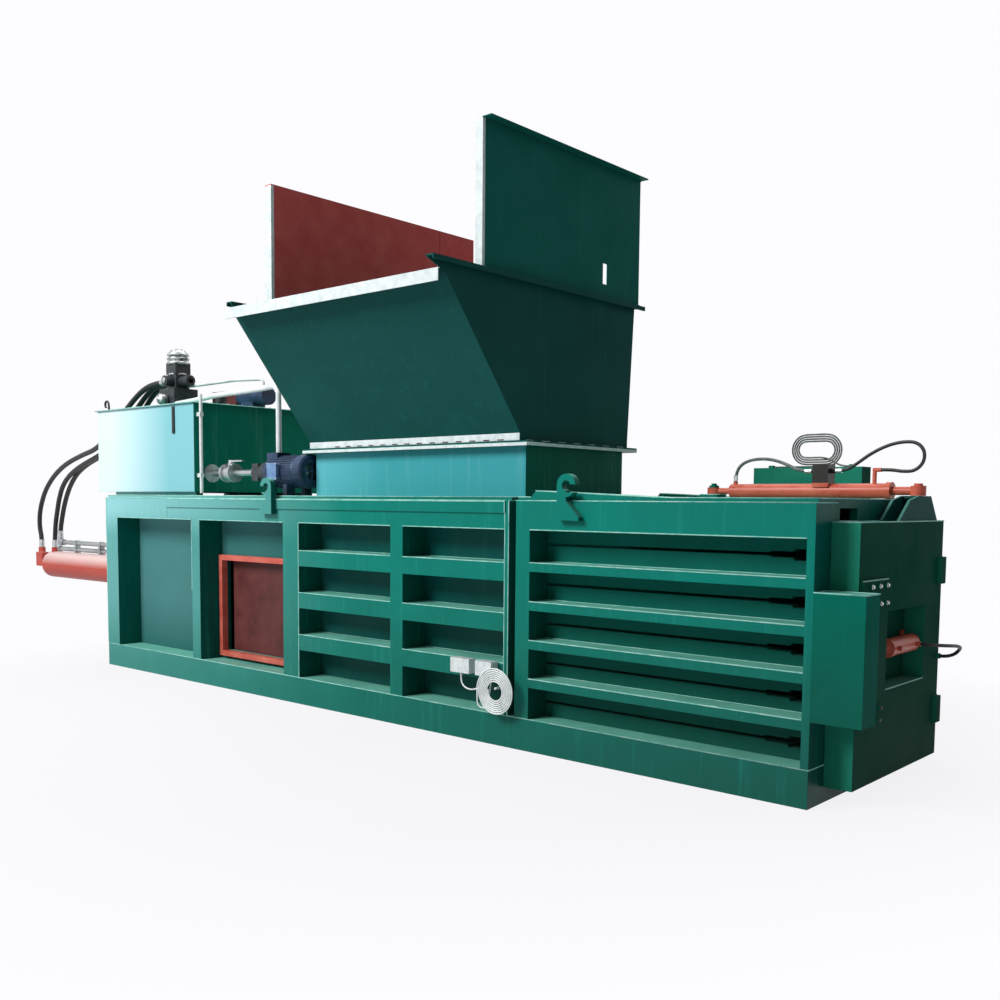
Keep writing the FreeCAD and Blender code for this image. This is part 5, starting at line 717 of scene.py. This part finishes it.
# %% Upright highlight lines and the guard's seam
# Some upright edges of the rear posts also get painted highlight lines, and so does the top beam's
# one butt weld.
beam_joint_x = 930
uprights = [[(beam_joint_x, -1, 1244), (beam_joint_x, -1, 1394)]]
uprights += [[(x, 0, top), (x, 0, foot)] for x, top, foot in (
    (1269, 1238, 700), (2562, 1238, 186), (0, 1396, 186))]
grown("upright_edge_lines", line_mesh("uprights", uprights), bead, plain_edge)
# The left guard is joined from two sheets, and the seam stands on its inner face.
seam = [[(2494, 1420, 2660), (2494, 1420, 3440)]]
grown("left_guard_seam", line_mesh("seam", seam), bead, dict(weld_teal, Finish=primer))

# %% [markdown]
# ## Crimped sleeves
# A pressure hose ends in a steel sleeve that a press squeezes over it in eight jaws, which leaves
# rings. The sleeves stand on the straight ends of the hoses, at the valve stack and over the pipes.

# %% Hose sleeves
sleeve = {"Radius": 0.0236, "Ripple": -0.07, "Step": 0.011, "Sides": 20, "Finish": zinc}
ports = [[(376, y, 2358), (300, y, 2358)] for y in (351, 400, 449)]
grown("port_sleeves", line_mesh("ports", ports), bead, sleeve)
feet = [[(x, y, foot), (x, y, top)] for x, y, foot, top in (
    (-2490, 626, 890, 965), (-2335, 690, 890, 965), (-2230, 700, 988, 1060))]
grown("cylinder_port_sleeves", line_mesh("feet", feet), bead, dict(sleeve, Radius=0.027))
lift = [[(5766, 1000, 1574), (5728, 1000, 1574)], [(5904, 1000, 1574), (5938, 1000, 1574)],
    [(5305, 1000, 1523), (5305, 1000, 1556)]]
small_sleeve = dict(sleeve, Radius=0.0115, Step=0.006, Sides=14)
grown("lift_hose_sleeves", line_mesh("lift", lift), bead, small_sleeve, "lift_barrel")

# %% [markdown]
# ## Hexagon bolts
# Flanges and plates are held by zinc plated hexagon screws. One tree puts a six-sided head on a
# washer at each point of a base mesh, turned to the way that the point's aim attribute gives.

# %% The bolt tree
bolts, start, end = grow_tree("hexagon_bolts", {
    "Width": "Float", "Height": "Float", "Finish": "Material"})
# The head stands on its washer, which is wider by 0.3 of the head and 0.3 of its height thick.
scaled = {}
for label, whole, part in (
        ("lift", "Height", 0.62), ("wide", "Width", 1.3), ("thin", "Height", 0.3)):
    scaled[label] = (add(bolts, "ShaderNodeMath", times, i0=(start, whole), i1=part), 0)
head = add(bolts, "GeometryNodeMeshCylinder", Vertices=6, Radius=(start, "Width"),
    Depth=(start, "Height"))
lifted = add(bolts, "ShaderNodeCombineXYZ", Z=scaled["lift"])
raised = add(bolts, "GeometryNodeTransform", Geometry=(head, 0), Translation=(lifted, 0))
washer = add(bolts, "GeometryNodeMeshCylinder", Vertices=16, Radius=scaled["wide"],
    Depth=scaled["thin"])
screw = add(bolts, "GeometryNodeJoinGeometry", i0=(washer, 0))
feed(screw, i0=(raised, 0))
aim = add(bolts, "GeometryNodeInputNamedAttribute", {"data_type": "FLOAT_VECTOR"}, Name="aim")
turned_to = add(bolts, "FunctionNodeAlignRotationToVector", {"axis": "Z"}, Vector=(aim, 0))
spread = add(bolts, "GeometryNodeInstanceOnPoints", Points=(start, "Geometry"),
    Instance=(screw, 0), Rotation=(turned_to, 0))
close_tree(bolts, spread, start, end)


# %% Bolts in their rows and rings
def bolt_points(name, spots, way):
    """Bare survey points, each with the way that its bolt head looks."""
    mesh = bpy.data.meshes.new(name)
    mesh.from_pydata([survey(*spot) for spot in spots], [], [])
    aims = mesh.attributes.new("aim", "FLOAT_VECTOR", "POINT")
    for item in aims.data:
        item.vector = way
    return mesh


front_way, near_way, up_way = (1, 0, 0), (0, -1, 0), (0, 0, 1)
head_x, axis_y, axis_z, reach = 1430, 700, 715, 128
ring_bolts, first_angle = 8, 0.39
angles = [first_angle + math.tau * index / ring_bolts for index in range(ring_bolts)]
head_ring = [(head_x, axis_y + reach * math.cos(angle), axis_z + reach * math.sin(angle))
    for angle in angles]
lid_z, lid_pitch = 2126, 200
lid_edge = [(x, y, lid_z) for y in (46, 1254) for x in range(-150, 1250, lid_pitch)]
lid_edge += [(x, y, lid_z) for x in (-206, 1246) for y in range(150, 1200, lid_pitch)]
door_face_x = 6421
plate_studs = [(274, 1016), (363, 1016), (452, 1016), (380, 933), (454, 933)]
foot_studs = [(416, 437), (407, 380)]
large_head = {"Width": 0.014, "Height": 0.014, "Finish": zinc}
lid_head = {"Width": 0.007, "Height": 0.006, "Finish": zinc}
small_head = {"Width": 0.0085, "Height": 0.007, "Finish": zinc}
dark_head = dict(small_head, Finish=cast)
for name, spots, way, screw_size, body in (
        ("cylinder_head_bolts", head_ring, front_way, large_head, "machine"),
        ("tank_lid_bolts", lid_edge, up_way, lid_head, "machine"),
        ("door_plate_bolts", [(door_face_x, *stud) for stud in plate_studs], front_way, small_head,
         "bale_door"),
        ("door_foot_bolts", [(door_face_x, *stud) for stud in foot_studs], front_way, dark_head,
         "bale_door")):
    grown(name, bolt_points(name + "_points", spots, way), bolts, screw_size, body)

# %% [markdown]
# ## Cooling fins
# The motor's iron frame is cast with long fins that carry its heat away. One thin fin is set on
# each point of a circle and turned outwards, and the whole ring is then laid along the shaft.

# %% The fin tree
fins, start, end = grow_tree("cooling_fins", {
    "Radius": "Float", "Depth": "Float", "Thickness": "Float", "Length": "Float", "Count": "Int",
    "Centre": "Vector", "Finish": "Material"})
hoop = add(fins, "GeometryNodeMeshCircle", Vertices=(start, "Count"), Radius=(start, "Radius"))
size = add(fins, "ShaderNodeCombineXYZ", X=(start, "Depth"), Y=(start, "Thickness"),
    Z=(start, "Length"))
fin = add(fins, "GeometryNodeMeshCube", Size=(size, 0))
spot = add(fins, "GeometryNodeInputPosition")
outward = add(fins, "FunctionNodeAlignRotationToVector", {"axis": "X", "pivot_axis": "Z"},
    Vector=(spot, 0))
spread = add(fins, "GeometryNodeInstanceOnPoints", Points=(hoop, 0), Instance=(fin, 0),
    Rotation=(outward, 0))
laid = add(fins, "GeometryNodeTransform", Geometry=(spread, 0), Rotation=(0.0, math.pi / 2, 0.0),
    Translation=(start, "Centre"))
close_tree(fins, laid, start, end)
motor_frame = {"Radius": 0.106, "Depth": 0.020, "Thickness": 0.0035, "Length": 0.27, "Count": 36,
    "Centre": tuple(survey(2214, 200, 1592)), "Finish": motor_blue}
grown("motor_fins", bpy.data.meshes.new("fin_base"), fins, motor_frame)

# %% [markdown]
# ## Folded trims
# A galvanised strip is folded over the raw sheet edges that hands and bales touch: the hopper's lip
# and the guards' near edges. Each is an outline of the fold drawn once and pulled along the edge,
# with the corners of the strip broken by a small bevel.

# %% Strips pulled along an edge
def along_axis(axis, along, first, second):
    """A point given by its place along an axis and its two places across it."""
    return {"X": (along, first, second), "Y": (first, along, second),
        "Z": (first, second, along)}[axis]


def shell(name, mesh, finish, smooth=False):
    """Turns the faces of a closed mesh outwards and places it as a piece."""
    bmesh.ops.recalc_face_normals(mesh, faces=mesh.faces)
    made = bpy.data.meshes.new(name)
    mesh.to_mesh(made)
    mesh.free()
    for face in made.polygons:
        face.use_smooth = smooth
    made.materials.append(finish)
    placed(name, made, "machine")


def pulled(name, outline, axis, low, high, finish, bevel=0.001):
    """An outline of survey points in the plane across the axis, pulled from low to high."""
    mesh = bmesh.new()
    ends = [[mesh.verts.new(survey(*along_axis(axis, along, *corner))) for corner in outline]
        for along in (low, high)]
    count = len(outline)
    for index in range(count):
        after = (index + 1) % count
        mesh.faces.new((ends[0][index], ends[0][after], ends[1][after], ends[1][index]))
    mesh.faces.new(ends[0])
    mesh.faces.new(ends[1])
    bmesh.ops.bevel(mesh, geom=mesh.edges[:], offset=bevel, segments=2, affect="EDGES",
        clamp_overlap=True)
    shell(name, mesh, finish)


# %% Galvanised trims
# Galvanised sheet: dull white zinc with a soft spangle.
galvanised = worked("galvanised_trim", "BAC6C7", "DDE5E5", 18, (0.45, 0.6), 0.0002, specular=0.3)
lip = [(-509, 2535), (-505, 2535), (-505, 2599), (-492, 2599), (-492, 2603), (-509, 2603)]
right_edge = [(4335, -171), (4386, -171), (4386, -150), (4384.5, -150), (4384.5, -167.5),
    (4335, -167.5)]
left_edge = [(2430, -154), (2495.5, -154), (2495.5, -130), (2494.2, -130), (2494.2, -150.2),
    (2430, -150.2)]


def strip(first_low, first_high, second_low, second_high):
    """The outline of a flat strip."""
    return [(first_low, second_low), (first_high, second_low), (first_high, second_high),
        (first_low, second_high)]


for name, outline, axis, low, high in (
        ("hopper_lip_trim", lip, "X", 2486, 4386),
        ("right_guard_trim", right_edge, "Z", 2656, 3446),
        ("left_guard_trim", left_edge, "Z", 2656, 3446),
        # The two flange strips are pale lines of painted highlight along the flange edges.
        ("collar_flange_strip", strip(148, 152, 1714, 1732), "X", 2424, 4448),
        ("skirt_band", strip(161, 165, 1745, 1787), "X", 2490, 4382),
        ("front_flange_strip", strip(4450, 4454, 1715, 1732), "Y", 154, 1246)):
    pulled(name, outline, axis, low, high, galvanised)

# %% [markdown]
# ## Stitch welds
# Short welds with gaps hold the hopper's foot, because they pull thin sheet out of shape less than
# a long bead does. They are rusty brown under the near band and brushed bright at the front. The
# bead tree makes both from rows of short runs.

# %% Stitch welds at the hopper's foot
stitch = {"Radius": 0.0034, "Ripple": 0.4, "Step": 0.006, "Sides": 6, "Finish": dark_primer}
brushed_stitch = dict(stitch, Radius=0.0045, Step=0.007, Finish=galvanised)
near_runs = [[(x, 161, 1751), (x + 46, 161, 1751)] for x in range(2760, 4300, 112)]
front_runs = [[(4386, y, 1747), (4386, y + 66, 1747)] for y in range(215, 1180, 150)]
grown("skirt_stitches", line_mesh("skirt_runs", near_runs), bead, stitch)
grown("foot_stitches", line_mesh("foot_runs", front_runs), bead, brushed_stitch)

# %% [markdown]
# ## Turned fittings
# The pilot valve's bonnet, its lock ring, the relief valve's cap and the coils' nuts are turned
# parts. Each is drawn as half of its outline and turned round its axis into a closed shell.

# %% Shells turned round an axis
def turned(name, centre, outline, finish, axis="Z", steps=32):
    """A closed shell of revolution: outline is (distance along the axis, radius) in mm."""
    mesh = bmesh.new()
    rings = []
    for along, radius in outline:
        loop = []
        for index in range(steps if radius > 0 else 1):
            angle = math.tau * index / steps
            shift = along_axis(axis, along, radius * math.cos(angle), radius * math.sin(angle))
            spot = [middle + offset for middle, offset in zip(centre, shift)]
            loop.append(mesh.verts.new(survey(*spot)))
        rings.append(loop)
    for lower, upper in zip(rings, rings[1:]):
        for index in range(steps):
            after = (index + 1) % steps
            corners = [lower[index % len(lower)], lower[after % len(lower)],
                upper[after % len(upper)], upper[index % len(upper)]]
            mesh.faces.new(list(dict.fromkeys(corners)))
    # A ring's outline ends where it began, so its two edges there become one.
    bmesh.ops.remove_doubles(mesh, verts=mesh.verts, dist=0.000001)
    shell(name, mesh, finish, smooth=True)


# %% Valve fittings
# Die-cast bonnet: bright and dark by turns, because its ribs hold grime.
mottled = worked("grimy_die_casting", "23282B", "E3E7E8", 26, (0.3, 0.5), 0.001, metal=0.6)
bonnet = [(0, 0), (0, 84), (8, 90), (22, 90), (26, 72), (34, 72), (38, 88), (52, 92), (60, 74),
    (68, 74), (72, 90), (88, 86), (104, 66), (114, 62), (118, 40), (126, 36), (130, 18),
    (132, 0)]
lock_ring = [(0, 60), (0, 74), (3, 77), (13, 77), (16, 74), (16, 60), (0, 60)]
cap = [(0, 0), (0, 34), (-6, 42), (-60, 42), (-66, 36), (-70, 14), (-78, 12), (-80, 0)]
front_nut = [(0, 0), (0, 22), (2, 26), (12, 26), (14, 22), (14, 0)]
near_nut = [(0, 0), (0, 20), (-2, 24), (-8, 24), (-10, 20), (-10, 0)]
turned("pilot_bonnet", (480, 400, 2496), bonnet, mottled)
turned("lower_lock_ring", (480, 400, 2408), lock_ring, mottled)
turned("relief_cap", (480, 282, 2206), cap, mottled, "Y")
turned("coil_nut", (648, 400, 2358), front_nut, mottled, "X", 24)
turned("near_coil_nut", (480, 269, 2358), near_nut, mottled, "Y", 24)

# %% [markdown]
# ## Terminal box
# The drive motor's wires enter a pale blue die-cast box with a lid on its near side. Box and lid
# are outlines pulled a short way, and the bolt tree sets a small screw in each corner of the lid.

# %% Terminal box, lid and screws
pale_blue = worked("pale_blue_enamel", "4C6C9A", "7E9EC4", 12, (0.35, 0.5), 0.0003, specular=0.25)
box_front_y, lid_y, box_back_y = 60, 66, 104
box_outline = [(2140, 1536), (2232, 1536), (2238, 1542), (2238, 1642), (2232, 1648), (2140, 1648),
    (2134, 1642), (2134, 1542)]
lid_outline = strip(2130, 2242, 1532, 1652)
pulled("terminal_box_body", box_outline, "Y", lid_y, box_back_y, pale_blue,
    0.003)
pulled("terminal_box_lid", lid_outline, "Y", box_front_y, lid_y, pale_blue,
    0.002)
lid_corners = [(x, box_front_y, z) for x in (2138, 2234) for z in (1540, 1644)]
lid_screw = {"Width": 0.005, "Height": 0.004, "Finish": zinc}
grown("terminal_box_screws", bolt_points("lid_screws", lid_corners, near_way), bolts, lid_screw)

# %% [markdown]
# ## Floor, light and background
# The object stands on a plain pale floor under soft studio light. A wide lamp in front and to the
# left lights the near side and the tops, as in the photograph, and leaves the door end in shade.
# The floor fades to white away from the object, and the world is white only to the camera, in
# reflections and through glass.

# %% Floor
half_width = 60
floor_white = "FDFCFF"
fade_start, fade_end = 3.0, 14.0
least_glow = 0.86
floor_mesh = bpy.data.meshes.new("studio_floor")
corners = [(x * half_width, y * half_width, 0) for x, y in ((-1, -1), (1, -1), (1, 1), (-1, 1))]
floor_mesh.from_pydata(corners, [], [(0, 1, 2, 3)])
floor = in_scene("studio_floor", floor_mesh)
floor.location.z = -0.0005
pale, tree, shader = material("pale_studio_floor")
spot = (add(tree, "ShaderNodeTexCoord"), "Object")
far_off = add(tree, "ShaderNodeVectorMath", {"operation": "LENGTH"}, i0=spot)
fade = add(tree, "ShaderNodeMapRange", Value=(far_off, 1), i1=fade_start, i2=fade_end)
speck = add(tree, "ShaderNodeTexNoise", Vector=spot, Scale=30.0, Detail=3.0)
tint = add(tree, "ShaderNodeMix", colours, i0=(speck, 0), i6=linear("C6C7CA"),
    i7=linear("CFD0D3"))
feed(shader, Base_Color=(tint, 2), Roughness=0.9, Specular_IOR_Level=0.1)
glow = add(tree, "ShaderNodeEmission", Color=linear(floor_white), Strength=1.0)
path = add(tree, "ShaderNodeLightPath")
seen = add(tree, "ShaderNodeMath", {"operation": "MAXIMUM"}, i0=(path, "Is Camera Ray"),
    i1=(path, "Is Glossy Ray"))
share = add(tree, "ShaderNodeMath", times, i0=(seen, 0), i1=(fade, 0))
lift = add(tree, "ShaderNodeMath", {"operation": "MULTIPLY_ADD", "use_clamp": True}, i0=(seen, 0),
    i1=least_glow, i2=(share, 0))
blend = add(tree, "ShaderNodeMixShader", i0=(lift, 0), i1=(shader, 0), i2=(glow, 0))
feed(tree.nodes["Material Output"], Surface=(blend, 0))
floor_mesh.materials.append(pale)
print("floor fades to white from", fade_start, "to", fade_end, "m")

# %% World
soft_strength = 0.22
world = bpy.data.worlds.new("studio")
bpy.context.scene.world = world
world.use_nodes = True
tree = world.node_tree
path = add(tree, "ShaderNodeLightPath")
seen = (path, "Is Camera Ray")
for ray in ("Is Glossy Ray", "Is Transmission Ray"):
    seen = (add(tree, "ShaderNodeMath", {"operation": "MAXIMUM"}, i0=seen, i1=(path, ray)), 0)
white = add(tree, "ShaderNodeBackground", Color=linear(floor_white), Strength=1.0)
soft = add(tree, "ShaderNodeBackground", Color=linear("F2F5FA"), Strength=soft_strength)
blend = add(tree, "ShaderNodeMixShader", i0=seen, i1=(soft, 0), i2=(white, 0))
feed(tree.nodes["World Output"], Surface=(blend, 0))
print("world light on the object:", soft_strength)


# %% Lamps
def lamp(name, spot, look, size, power):
    """A square soft box aimed at a point."""
    light = bpy.data.lights.new(name, "AREA")
    light.size = size
    light.energy = power
    made = in_scene(name, light)
    made.location = spot
    made.rotation_euler = (Vector(look) - Vector(spot)).to_track_quat("-Z", "Y").to_euler()
    print(name, "at", spot, "with", power, "W")


lamp("key_soft_box", (-3.1, -8.9, 7.6), (0.0, 0, 1.2), 4.5, 1330)
lamp("top_soft_box", (-1.0, 1.5, 9.0), (-0.5, 0, 0.5), 6.0, 450)
bpy.context.scene.view_settings.view_transform = "Standard"
